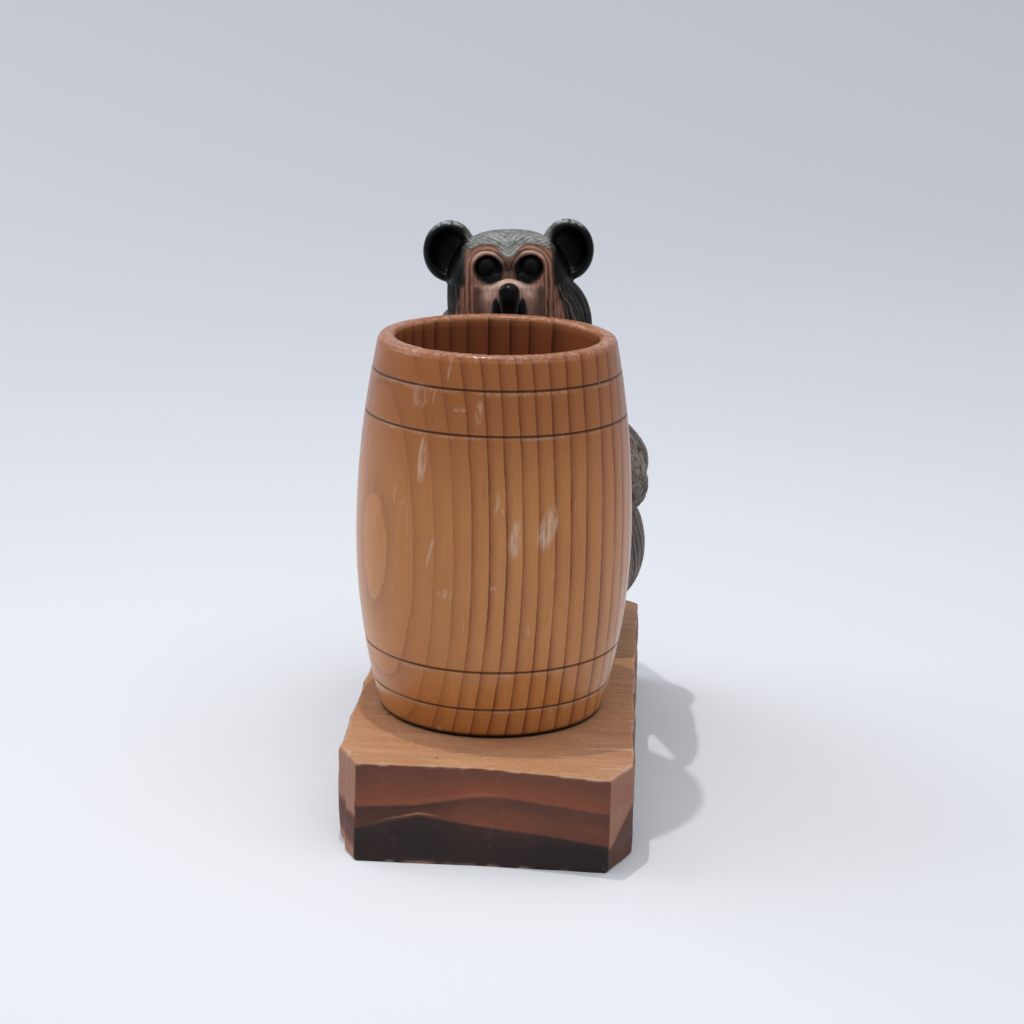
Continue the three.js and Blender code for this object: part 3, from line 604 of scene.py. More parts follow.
def barrel():
    """The section carried round the axis, finer in front, with grain, rubs, cuts and a painted shadow along
    the foot kept per point.
    """
    profile = barrel_profile()
    # Half the angle of the front, in radians, where the columns stand closer together.
    fine = 1.35
    turn = np.concatenate([np.linspace(-fine, fine, 230), np.linspace(fine, 2 * math.pi - fine, 92)[1:-1]])
    radius, height = profile[:, 0][:, None], profile[:, 1][:, None]
    x = radius * np.sin(turn)[None]
    y = -radius * np.cos(turn)[None]
    z = np.broadcast_to(height, x.shape)
    outside = np.zeros(len(profile), bool)
    last = np.argmax(profile[:, 1] >= BARREL_TALL - 1.1)
    outside[:last] = True
    places = np.stack([x, y, z], axis=-1).reshape(-1, 3)
    chips = 0.22 * smooth(0.25, 0.8, noise(places, 3.0)) + 0.1 * noise(places, 1.6)
    rim = bump(z, BARREL_TALL, 2.2).ravel()
    along = places[:, :2] / np.maximum(np.hypot(places[:, 0], places[:, 1]), 1e-6)[:, None]
    worn_rim = np.zeros_like(places)
    worn_rim[:, 2] = -rim * np.abs(chips) * 0.8
    rings = (places + worn_rim).reshape(len(profile), len(turn), 3)
    wave = 0.08 * noise(places, 9.0).reshape(x.shape) * outside[:, None]
    rings[..., 0] -= along[:, 0].reshape(x.shape) * np.abs(wave)
    rings[..., 1] -= along[:, 1].reshape(x.shape) * np.abs(wave)
    points, faces = closed_rings(rings)
    groove = np.zeros(len(profile))
    for cut in GROOVE_HEIGHTS:
        off = np.abs(profile[:, 1] - cut) / (GROOVE_WIDE * 0.42)
        groove = np.maximum(groove, np.clip(1.1 - off, 0.0, 1.0))
    # Painted contact shadow: the lowest millimetre and a half of the foot takes the grooves' dark colour.
    groove = np.maximum(groove, smooth(1.5, 0.5, profile[:, 1]))
    groove = (groove * outside)[:, None] * np.ones((1, len(turn)))
    lips = sum(bump(profile[:, 1], cut - GROOVE_WIDE * 0.85, 0.5) for cut in GROOVE_HEIGHTS)
    inside = (~outside)[:, None] * smooth(BARREL_TALL, BARREL_TALL - 3.0, z)
    wrapped = (turn + math.pi) % (2 * math.pi) - math.pi
    rub = worn_varnish(np.broadcast_to(wrapped[None], x.shape), z) * outside[:, None]
    ragged = smooth(0.1, 0.6, noise(places, 1.7)).reshape(x.shape)
    rub = np.maximum(rub, rim.reshape(x.shape) * ragged * 0.4)
    worn_lips = smooth(-0.6, 0.4, noise(places, 6.0)).reshape(x.shape) * (lips * outside)[:, None]
    rub = np.maximum(rub, 0.65 * worn_lips)
    lean = math.radians(GRAIN_LEAN)
    along_grain = x * math.cos(lean) + y * math.sin(lean)
    kept = {
        "ring_phase": ring_phase(x, y, z),
        "groove": groove,
        "inside": inside,
        "rub": rub,
        "rim": rim.reshape(x.shape),
        # Painted sheen: the growth lines fade on the barrel's left side, where a milky reflection veils them.
        "lined": 0.35 + 0.65 * smooth(-31.0, -20.0, along_grain),
        "high": smooth(58.0, 98.0, z) * outside[:, None],
    }
    kept = {key: np.concatenate([value.ravel(), [0.0, 0.0]]) for key, value in kept.items()}
    kept["ring_phase"][-2:] = ring_phase(points[-2:, 0], points[-2:, 1], points[-2:, 2])
    points = points + np.array([BARREL_X, BARREL_Y, FOOT_Z])
    return make_piece("turned_barrel", points / 1000.0, faces, kept, varnished_pine())


# Plank.


def gouge_depth(along, height):
    """Overlapping axe cuts on the back end, in two bands: a scallop across times a hump up each band."""
    pitch = PLANK_WIDTH / 4
    upper = height > PLANK_THICK * 0.5
    phase = np.where(upper, 0.15, 0.6)
    scallop = np.abs((along / pitch + phase) % 1.0 - 0.5) * 2
    band = np.where(upper, height / PLANK_THICK - 0.78, height / PLANK_THICK - 0.25)
    return HEWN_SCOOP * np.maximum(0.0, (1 - scallop**2) * (1 - 9 * band**2))


def scooped(across, part):
    """Height, depth and stain of the hewn front: three long scoops with a ridge after every second step.

    The stain is a tone from 0, nearly black, in the lowest scoop to 1, tan, at the foot of the topmost one.
    """
    across = np.clip(across, -1.0, 1.0)
    low = np.interp(across, RIDGE_PLACES, RIDGE_LOW)
    high = np.interp(across, RIDGE_PLACES, RIDGE_HIGH)
    step = part * 6.0
    first = step / 2.0 * low
    second = low + (step - 2.0) / 2.0 * (high - low)
    third = high + (step - 4.0) / 2.0 * (1.0 - high)
    height = np.where(step < 2.0, first, np.where(step < 4.0, second, third))
    off = step % 2.0 - 1.0
    depth = HEWN_SCOOP * (1.0 - off * off)
    lowest = 0.03 + 0.06 * smooth(1.2, 2.0, step)
    middle = 0.42 + 0.1 * smooth(3.6, 2.6, step) - 0.12 * smooth(-0.3, -0.9, across)
    top = 0.52 + 0.13 * smooth(5.5, 4.3, step)
    tone = np.where(step < 2.0, lowest, np.where(step < 4.0, middle, top))
    return height, depth, tone


def plank_outline(stretch):
    """Corners of the plank seen from above, with points a stretch apart between them."""
    half = PLANK_WIDTH / 2
    corners = np.array(
        [
            (-half + FRONT_CUT, -PLANK_FRONT + FRONT_STEP),
            (0.0, -PLANK_FRONT + FRONT_STEP),
            (half - FRONT_CUT, -PLANK_FRONT),
            (half, -PLANK_FRONT + FRONT_CUT_LONG),
            (half, PLANK_BACK - BACK_CUT),
            (half - BACK_CUT, PLANK_BACK),
            (-half + BACK_CUT, PLANK_BACK),
            (-half, PLANK_BACK - BACK_CUT),
            (-half, -PLANK_FRONT + FRONT_STEP + FRONT_CUT_LONG),
        ]
    )
    outline = []
    for start, end in zip(corners, np.roll(corners, -1, axis=0)):
        count = max(2, int(round(np.hypot(*(end - start)) / stretch)))
        outline.append(start + (end - start) * (np.arange(count) / count)[:, None])
    return np.concatenate(outline)


def plank_side(outline, levels):
    """The plank's sides as rings of points, with the stain's tone: hewn ends and slowly waving long sides."""
    count = len(outline)
    x = np.broadcast_to(outline[:, 0], (len(levels), count)).copy()
    y = np.broadcast_to(outline[:, 1], (len(levels), count)).copy()
    part = np.broadcast_to(levels[:, None], (len(levels), count))
    half = PLANK_WIDTH / 2
    front = y < -PLANK_FRONT + FRONT_STEP + FRONT_CUT_LONG * 0.6
    rear = y > PLANK_BACK - BACK_CUT * 0.5
    height, depth, tone = scooped(x / (half - FRONT_CUT), part)
    z = np.where(front, height, part) * PLANK_THICK
    low = 1 - z / PLANK_THICK
    lean = low * (HEWN_LEAN - (HEWN_LEAN + HEWN_LEAN_BACK) * np.maximum(0, x / half))
    gouged = np.where(rear, gouge_depth(x + PLANK_WIDTH / 3, z), 0.0)
    moved_y = y + np.where(front, depth - lean, 0.0) - gouged
    wave = SIDE_WAVE * (1 + np.sin(y * 0.21 + z * 0.12 + x)) * (0.4 + 0.6 * low)
    moved_x = x - np.where(front | rear, 0.0, np.sign(x) * wave)
    places = np.stack([x, y, z], axis=-1).reshape(-1, 3)
    rough = (0.16 * noise(places, 5.0) + 0.08 * noise(places, 1.6)).reshape(x.shape) - 0.4
    away = np.hypot(x, y)
    moved_x += x / away * rough
    moved_y += y / away * rough
    # The upper and lower edges are rounded over their last millimetre.
    edge = np.clip(np.minimum(z, PLANK_THICK - z), 0.0, 1.0)
    inwards = 0.6 * (1 - edge) ** 2
    moved_x *= 1 - inwards / half
    moved_y *= 1 - inwards / PLANK_FRONT
    # The corners were cut after the stain: tan, with a darker facet low on each.
    cut_left = (x < -half + FRONT_CUT - 0.4) & (y < -PLANK_FRONT + FRONT_STEP + FRONT_CUT_LONG + 1.0)
    cut_right = (x > half - FRONT_CUT + 0.4) & (y < -PLANK_FRONT + FRONT_CUT_LONG + 1.0)
    bare_left = 0.86 - 0.42 * smooth(0.52, 0.42, part) * smooth(0.08, 0.2, part)
    facet = part - 0.25 - 0.35 * (x - half + FRONT_CUT) / FRONT_CUT
    bare_right = 0.82 - 0.4 * smooth(0.03, -0.03, facet)
    side_tone = 0.55 - 0.35 * low * (0.5 + 0.5 * noise(places, 14.0)).reshape(x.shape)
    tone = np.where(front, tone, side_tone)
    tone = np.where(cut_left, bare_left, np.where(cut_right, bare_right, tone))
    return np.stack([moved_x, moved_y, z], axis=-1), tone


def plank():
    """Rings from the foot's middle out, up the sides and in over the top, with stain and wear per point."""
    outline = plank_outline(1.1)
    count = len(outline)
    levels = np.concatenate([[0.0, 0.01, 0.025], np.linspace(0.05, 0.95, 34), [0.975, 0.99, 1.0]])
    side, tone = plank_side(outline, levels)
    rim = side[-1, :, :2]
    foot_shares = (0.1, 0.5, 0.9, 0.99)
    top_shares = (0.992, 0.98, 0.96, 0.93, 0.88, 0.8, 0.7, 0.58, 0.44, 0.28, 0.08)
    feet = [np.c_[side[0, :, :2] * part, np.zeros(count)] for part in foot_shares]
    tops = [np.c_[rim * part, np.full(count, PLANK_THICK)] for part in top_shares]
    rings = np.concatenate([np.array(feet), side, np.array(tops)])
    points, faces = closed_rings(rings)
    below, above = len(foot_shares), len(top_shares)
    row = np.concatenate([np.zeros(below), levels, np.ones(above)])[:, None]
    # Distance in from the edge over the top; the rings far from the edge have no wear.
    far = 9.0
    near_edge = [0.6, 1.6, 3.0]
    inside = np.concatenate([np.full(below, far), np.zeros(len(levels)), near_edge, np.full(above - 3, far)])
    ragged = noise(rings.reshape(-1, 3), 2.2).reshape(rings.shape[:2])
    worn = np.maximum(0.75 * bump(row, 1.0, 0.025), 0.7 * bump(row, 0.0, 0.03))
    worn = worn * smooth(1.4, 0.0, inside)[:, None] * smooth(-0.3, 0.6, ragged)
    tones = np.concatenate([np.zeros((below, count)), tone, np.ones((above, count))])
    kept = {
        "worn": np.concatenate([worn.ravel(), [0.0, 0.0]]),
        "tone": np.concatenate([tones.ravel(), [0.0, 1.0]]),
    }
    return make_piece("hewn_plank", points / 1000.0, faces, kept, hewn_pine())


# Bear: the carver's forms, in millimetres from the barrel's axis, before it is shifted and turned.


def ball_rings(rings, columns):
    """Directions of a ball: rings of points from its lower pole to its upper one, and the angle round it."""
    down = np.linspace(math.pi, 0.0, rings + 2)[1:-1]
    around = np.linspace(0.0, 2 * math.pi, columns, endpoint=False)
    level = np.sin(down)[:, None]
    x = level * np.cos(around)
    y = level * np.sin(around)
    z = np.cos(down)[:, None] * np.ones(columns)
    return x, y, z


def egg(at, half, rings=60, columns=90):
    """A ball stretched to an egg about its middle."""
    x, y, z = ball_rings(rings, columns)
    grid = np.stack([at[0] + x * half[0], at[1] + y * half[1], at[2] + z * half[2]], axis=-1)
    return closed_rings(grid)


def catmull_rom(stops, t):
    """A smooth curve through the stops, with its speed set by the root of the distance between them."""
    stops = np.asarray(stops, float)
    ends = np.concatenate([[2 * stops[0] - stops[1]], stops, [2 * stops[-1] - stops[-2]]])
    place = np.clip(t, 0.0, 1.0) * (len(stops) - 1)
    index = np.minimum(place.astype(int), len(stops) - 2)
    part = (place - index)[:, None]
    before, start, end, after = (ends[index + k] for k in range(4))
    spans = ((before, start), (start, end), (end, after))
    one, two, three = (np.sqrt(np.linalg.norm(b - a, axis=1))[:, None] for a, b in spans)
    first = ((start - before) / one - (end - before) / (one + two) + (end - start) / two) * two
    last = ((end - start) / two - (after - start) / (two + three) + (after - end) / three) * two
    square = part * part
    cube = square * part
    return (
        start
        + first * part
        + (3 * (end - start) - 2 * first - last) * square
        + (2 * (start - end) + first + last) * cube
    )


def limb_frame(stops, halves, t):
    """Centre, sideways and upward directions and half sizes of a limb at shares t of its length.

    Sideways is the bear's own left to right, made square to the limb.
    """
    step = 1e-4
    centre = catmull_rom(stops, t)
    ahead = catmull_rom(stops, np.minimum(t + step, 1.0)) - catmull_rom(stops, np.maximum(t - step, 0.0))
    ahead /= np.linalg.norm(ahead, axis=1)[:, None]
    side = np.array([1.0, 0.0, 0.0]) - ahead * ahead[:, :1]
    side /= np.linalg.norm(side, axis=1)[:, None]
    up = np.cross(ahead, side)
    place = t * (len(stops) - 1)
    halves = np.asarray(halves, float)
    sizes = np.stack([np.interp(place, np.arange(len(stops)), halves[:, k]) for k in (0, 1)], axis=-1)
    return centre, side, up, sizes


def limb(stops, halves, blunt, rings=90, columns=48):
    """A ball drawn out along a curve: each ring stands square to it, and a power curve rounds the ends."""
    t = np.linspace(0.0, 1.0, rings + 2)[1:-1]
    t = 0.5 - 0.5 * np.cos(math.pi * t)
    centre, side, up, sizes = limb_frame(stops, halves, t)
    rounded = np.sqrt(np.maximum(0.0, 1 - np.abs(2 * t - 1) ** blunt))[:, None]
    around = np.linspace(0.0, 2 * math.pi, columns, endpoint=False)
    wide = (np.cos(around)[None] * sizes[:, :1] * rounded)[..., None]
    high = (np.sin(around)[None] * sizes[:, 1:] * rounded)[..., None]
    grid = centre[:, None] + side[:, None] * wide + up[:, None] * high
    return closed_rings(grid)


# Sections of the trunk in thousandths of the bear's height: height, half width, back and front.
TRUNK = np.array(
    [
        (-47, 109, 402, 137),
        (16, 202, 472, 44),
        (109, 257, 534, 5),
        (233, 280, 565, -19),
        (374, 280, 565, -34),
        (498, 268, 534, -34),
        (607, 233, 487, -19),
        (700, 198, 432, 12),
        (786, 144, 370, 75),
        (840, 78, 293, 137),
    ],
    float,
)
# How square the trunk is in plan: 2 is an oval, more is nearer to a rectangle.
FRONT_SQUARE = 3.4
BACK_SQUARE = 2.3


def trunk():
    """One ball drawn up through the sections, rounded-square in plan in front and rounder behind."""
    x, y, z = ball_rings(150, 160)
    t = 1 - np.arccos(np.clip(z, -1, 1)) / math.pi
    level = np.maximum(1e-6, np.sqrt(1 - z * z))
    place = t * (len(TRUNK) - 1)
    rise, half, back, front = (np.interp(place, np.arange(len(TRUNK)), TRUNK[:, k]) for k in range(4))
    closing = np.minimum(1.0, level * 2.6)
    square = np.where(y < 0, FRONT_SQUARE, BACK_SQUARE)
    away = np.hypot(x, y) + 1e-9
    bulge = (np.abs(x / away) ** square + np.abs(y / away) ** square) ** (-1 / square)
    across = x / level * half * closing * bulge
    depth = (back + front) / 2 + y / level * (back - front) / 2 * closing * bulge
    grid = np.stack([share(across), behind(depth), share(rise)], axis=-1)
    return closed_rings(grid)


def limb_stops(rows):
    """Stops and their half sizes in millimetres, from rows in thousandths of the bear's height."""
    stops = [(share(r[0]), behind(r[1]), share(r[2])) for r in rows]
    halves = [(share(r[3]), share(r[4])) for r in rows]
    return stops, halves


PAW_THICK = 5.6
PAW_PROUD = {1: 4.9, -1: 0.2}
PAW_SHORT = {1: 0.0, -1: 8.0}
# The left elbow is tucked in behind the barrel and its wrist is slimmer, by thousandths of the bear's height.
TUCK = {1: 0.0, -1: 22.0}
SLIM = {1: 0.0, -1: 7.0}
# Share of the paw's shortening by which the wrist lies back with it.
WRIST_BACK = 0.6


def paw_outside(side):
    """Where the outside of a paw stands, from the middle of the bear."""
    return BARREL_BELLY_R + PAW_PROUD[side] - side * BEAR_SHIFT


def upper_arm_stops(side):
    """The upper arm's curve and half sizes: from the shoulder out and down to the elbow."""
    tuck = TUCK[side]
    rows = [
        (136, 246, 598, 74, 90),
        (190 - tuck / 2, 246, 496, 82, 104),
        (262 - tuck, 215, 418, 84, 92),
        (260 - tuck, 199, 366, 62, 70),
    ]
    stops, halves = limb_stops(rows)
    return [(side * x, y, z) for x, y, z in stops], halves


def forearm_stops(side):
    """The forearm's curve and half sizes: from the elbow forward to the wrist and round the barrel."""
    paw = paw_outside(side) - PAW_THICK / 2
    reach = PAW_SHORT[side]
    tuck = TUCK[side]
    slim = SLIM[side]
    stops = [
        (share(240 - tuck), behind(270), share(418)),
        (share(266 - tuck), behind(137), share(412)),
        (paw - share(10 + slim), behind(28), share(422)),
        (paw - share(slim), behind(-65) + WRIST_BACK * reach, share(436)),
        (paw, behind(-128) + reach, share(440)),
        (paw - share(20), behind(-198) + reach, share(440)),
    ]
    halves = [
        (share(70), share(78)),
        (share(68), share(78)),
        (share(50 - slim / 2), share(66)),
        (share(36 - slim / 2), share(53)),
        (PAW_THICK / 2, share(46)),
        (PAW_THICK / 2, share(40)),
    ]
    return [(side * x, y, z) for x, y, z in stops], halves


HEAD_Y = behind(191)
HEAD_Z = share(817)
HEAD_HALF = (share(144), share(148), share(156))
HEAD_BLOCK = 2.6
FACE_FLAT = 0.55
EYE_X = share(47.5)
EYE_Z = share(899)
EYE_R = share(25)
SOCKET_R = share(31)
# How far out and how high each cheek stands.
CHEEK = {1: (share(192), share(752)), -1: (share(146), share(756))}
EAR_AT = (share(135.4), behind(176), share(927.6))
EAR_WIDE = share(62)
EAR_TALL = share(72)
HAUNCH_AT = (share(233), behind(207), share(226))
HAUNCH_HALF = (share(107), share(226), share(144))


def face_y(x, z):
    """Depth of the front of the skull: a rounded block whose face is flatter than its back."""
    across = np.abs(x / HEAD_HALF[0]) ** HEAD_BLOCK + np.abs((z - HEAD_Z) / HEAD_HALF[2]) ** HEAD_BLOCK
    out = across ** (2 / HEAD_BLOCK)
    return HEAD_Y - HEAD_HALF[1] * np.maximum(0.0, 1 - out) ** (FACE_FLAT / 2)


def skull():
    """The rounded block of the head: a ball whose rings are squared across and flattened in front."""
    x, y, z = ball_rings(120, 120)
    x, y, z = x, z, y
    size = np.abs(x) ** HEAD_BLOCK + np.abs(z) ** HEAD_BLOCK
    flat = np.hypot(x, z) ** HEAD_BLOCK
    swell = np.where(flat > 1e-9, (flat / np.maximum(size, 1e-12)) ** (1 / HEAD_BLOCK), 1.0)
    depth = np.where(y < 0, -(np.abs(y) ** FACE_FLAT), y)
    grid = np.stack(
        [x * swell * HEAD_HALF[0], HEAD_Y + depth * HEAD_HALF[1], HEAD_Z + z * swell * HEAD_HALF[2]], axis=-1
    )
    return closed_rings(grid[::-1])


def ear(side):
    """A round disc with a rolled rim and a hollow front: its section is carried round an oval."""
    # Share of the disc's radius, and millimetres behind its middle plane, from the back round the rim.
    section = np.array(
        [
            (0.02, 4.2), (0.25, 4.1), (0.5, 3.6), (0.75, 2.7), (0.92, 1.4), (1.0, 0.0), (0.98, -1.5),
            (0.9, -2.7), (0.8, -3.1), (0.72, -2.7), (0.64, -1.6), (0.5, -0.4), (0.3, 0.2), (0.02, 0.4),
        ]
    )
    section = catmull_rom(np.c_[section, np.zeros(len(section))], np.linspace(0, 1, 60))[:, :2]
    around = np.linspace(0, 2 * math.pi, 90, endpoint=False)
    x = section[:, :1] * np.cos(around) * EAR_WIDE
    z = section[:, :1] * np.sin(around) * EAR_TALL
    y = section[:, 1:] * np.ones(len(around))
    grid = np.stack([side * EAR_AT[0] + x, EAR_AT[1] + y, EAR_AT[2] + z], axis=-1)
    return closed_rings(grid[::-1])


def muzzle():
    """The snout: a limb that comes forward out of the face and stops blunt."""
    rows = [(0, 137, 833, 86, 70), (0, 59, 829, 67, 65), (0, -3, 821, 48, 56), (0, -30, 817, 39, 47)]
    stops, halves = limb_stops(rows)
    return limb(stops, halves, 4.0)


def nose():
    """The glossy tip: a short upright limb down the front of the snout."""
    rows = [(0, -8, 876, 17, 12), (0, -26, 867, 24, 17), (0, -29, 830, 23, 17), (0, -24, 792, 20, 14)]
    stops, halves = limb_stops(rows)
    return limb(stops, halves, 3.0)


def nostril(side):
    """A small black lobe low on each side of the nose."""
    return egg((side * share(27), behind(-17), share(816)), (share(13), share(13), share(36)), 24, 24)


def joined(shells):
    """Several shells put side by side in one list of points and faces."""
    points = []
    faces = []
    count = 0
    for shell_points, shell_faces in shells:
        points.append(shell_points)
        if isinstance(shell_faces, np.ndarray):
            shell_faces = shell_faces.tolist()
        faces.extend([[i + count for i in face] for face in shell_faces])
        count += len(shell_points)
    return np.concatenate(points), faces


def fused(name, shells, voxel):
    """The shells melted into one skin of even squares, and their points and faces as arrays."""
    points, faces = joined(shells)
    rough = make_piece(name, points / 1000.0, faces, {}, None)
    melt = rough.modifiers.new("melt", "REMESH")
    melt.mode = "VOXEL"
    melt.voxel_size = voxel / 1000.0
    bpy.context.view_layer.update()
    done = rough.evaluated_get(bpy.context.evaluated_depsgraph_get())
    mesh = bpy.data.meshes.new_from_object(done)
    out = np.zeros(len(mesh.vertices) * 3)
    mesh.vertices.foreach_get("co", out)
    corners = np.zeros(len(mesh.loops), np.int32)
    mesh.loops.foreach_get("vertex_index", corners)
    bpy.data.objects.remove(rough)
    quads = corners.reshape(-1, 4)
    bpy.data.meshes.remove(mesh)
    return out.reshape(-1, 3) * 1000.0, quads


def eased(points, quads, rounds):
    """Each point drawn half way to the mean of its neighbours, a few times, to smooth the melted skin."""
    pairs = np.concatenate([quads[:, [0, 1]], quads[:, [1, 2]], quads[:, [2, 3]], quads[:, [3, 0]]])
    pairs = np.concatenate([pairs, pairs[:, ::-1]])
    count = np.bincount(pairs[:, 0], minlength=len(points)).astype(float)
    for _ in range(rounds):
        beside = points[pairs[:, 1]]
        sums = [np.bincount(pairs[:, 0], weights=beside[:, k], minlength=len(points)) for k in range(3)]
        mean = np.stack(sums, axis=-1) / np.maximum(count, 1)[:, None]
        points = points + 0.5 * (mean - points)
    return points


def outward(points, quads):
    """Unit directions that point out of the skin at each point: the sum of the faces that meet there."""
    face = np.cross(points[quads[:, 2]] - points[quads[:, 0]], points[quads[:, 3]] - points[quads[:, 1]])
    total = np.zeros_like(points)
    for k in range(4):
        for axis in range(3):
            total[:, axis] += np.bincount(quads[:, k], weights=face[:, axis], minlength=len(points))
    return total / np.maximum(np.linalg.norm(total, axis=1), 1e-12)[:, None]


def groove_wave(strand, pitch):
    """0 on a ridge and 1 in the bottom of a groove: broad ridges a pitch apart, narrow grooves between."""
    part = np.abs((strand / pitch) % 1.0 - 0.5) * 2
    return np.clip((part - 0.35) / 0.65, 0.0, 1.0) ** 1.5


def limb_coordinates(points, stops, halves):
    """For each point its share along a limb, angle round it and distance from it in half sizes."""
    t = np.linspace(0.0, 1.0, 60)
    centre, side, up, sizes = limb_frame(stops, halves, t)
    away = ((points[:, None, :] - centre[None]) ** 2).sum(-1)
    near = np.argmin(away, axis=1)
    offset = points - centre[near]
    wide = (offset * side[near]).sum(-1) / sizes[near, 0]
    high = (offset * up[near]).sum(-1) / sizes[near, 1]
    return t[near], np.arctan2(high, wide), np.hypot(wide, high)


def clear_of_barrel(points):
    """Points inside the barrel's outside, grown by the gap, are pushed straight out to it."""
    x = points[:, 0] + BEAR_SHIFT
    y = points[:, 1]
    away = np.hypot(x, y)
    inside = (points[:, 2] < BARREL_TALL + GAP) & (points[:, 2] > -1.0)
    wall = barrel_radius(np.clip(points[:, 2], 0.0, BARREL_TALL)) + GAP + 0.05
    short = inside & (away < wall)
    factor = np.where(short, wall / np.maximum(away, 1e-6), 1.0)
    moved = points.copy()
    moved[:, 0] = x * factor - BEAR_SHIFT
    moved[:, 1] = y * factor
    return moved


# Millimetres: the squares that the skins are melted to, and from one carved groove to the next.
BODY_SQUARE = 1.06
HEAD_SQUARE = 0.46
BODY_LOCK_PITCH = 3.3
HEAD_LOCK_PITCH = 2.1
BROW_BAND_PITCH = 1.55
FURROW_PITCH = 1.3


def body_skin():
    """Trunk, haunches, feet and arms melted into one skin, with locks of fur cut along each form."""
    shells = [trunk()]
    for side in (-1, 1):
        shells.append(egg((side * HAUNCH_AT[0], HAUNCH_AT[1], HAUNCH_AT[2]), HAUNCH_HALF))
        shells.append(egg((side * share(187), behind(277), share(467)), (share(93), share(132), share(132))))
        shells.append(egg((side * share(156), behind(59), share(47)), (share(78), share(109), share(78))))
        shells.append(limb(*upper_arm_stops(side), 6.0))
        shells.append(limb(*forearm_stops(side), 8.0))
    points, quads = fused("bear_body", shells, BODY_SQUARE)
    points = eased(points, quads, 6)
    normal = outward(points, quads)
    x, y, z = points.T
    turn = np.arctan2(y - behind(265), x)
    # The strands are counted in millimetres across the skin: round the trunk, each thigh and each arm.
    strand = turn * 36.0 + 0.18 * z
    for side in (-1, 1):
        out, back, up = (
            (place - middle) / half
            for place, middle, half in zip((side * x, y, z), HAUNCH_AT, HAUNCH_HALF)
        )
        reach = np.sqrt(out**2 + back**2 + up**2)
        arc = np.arctan2(back, out)
        on_thigh = reach < 1.1
        strand = np.where(on_thigh, arc * 20.0 + 0.12 * z, strand)
    for side in (-1, 1):
        for stops, halves, spread in ((*upper_arm_stops(side), 11.0), (*forearm_stops(side), 8.5)):
            share_along, angle, reach = limb_coordinates(points, stops, halves)
            on_arm = (reach < 1.12) & (share_along > 0.03)
            strand = np.where(on_arm, angle * spread + 6.0 * share_along, strand)
    wander = 0.9 * noise(points, 9.0)
    groove = groove_wave(strand + wander, BODY_LOCK_PITCH)
    depth = 0.75 + 0.25 * noise(points, 14.0)
    points = points - normal * (0.28 + groove * depth)[:, None]
    points = clear_of_barrel(points)
    points[:, 2] = np.maximum(points[:, 2], 0.0)
    kept = {key: np.zeros(len(points)) for key in KEPT}
    kept["groove"] = groove
    kept["strand"] = strand + wander
    kept["rubbed"][:] = 1.0
    return points, quads, kept


def seen_height(y, z):
    """Height over the eyes as it looks from in front and a little above, where farther back means higher."""
    look = math.radians(15.0)
    eye_y = float(face_y(np.array(EYE_X), np.array(EYE_Z)))
    return (z - EYE_Z) * math.cos(look) + (y - eye_y) * math.sin(look)


def hairline(across):
    """Seen height of the hair's edge on the brow: a low peak in the middle and an arch over each eye."""
    return 3.4 + 4.7 * smooth(0.0, 5.2, across) - 1.6 * smooth(7.5, 13.0, across)


def snout_top(across):
    """Seen height of the snout's upper edge: an arch over the nose that levels out under the eyes."""
    return -2.7 - 1.5 * smooth(0.0, 5.2, across) + 0.7 * smooth(6.5, 10.0, across)


def face_edge(seen):
    """How far out the brown face reaches: wider towards the chin."""
    return 13.0 + 0.24 * np.clip(-seen, 0.0, 16.0)


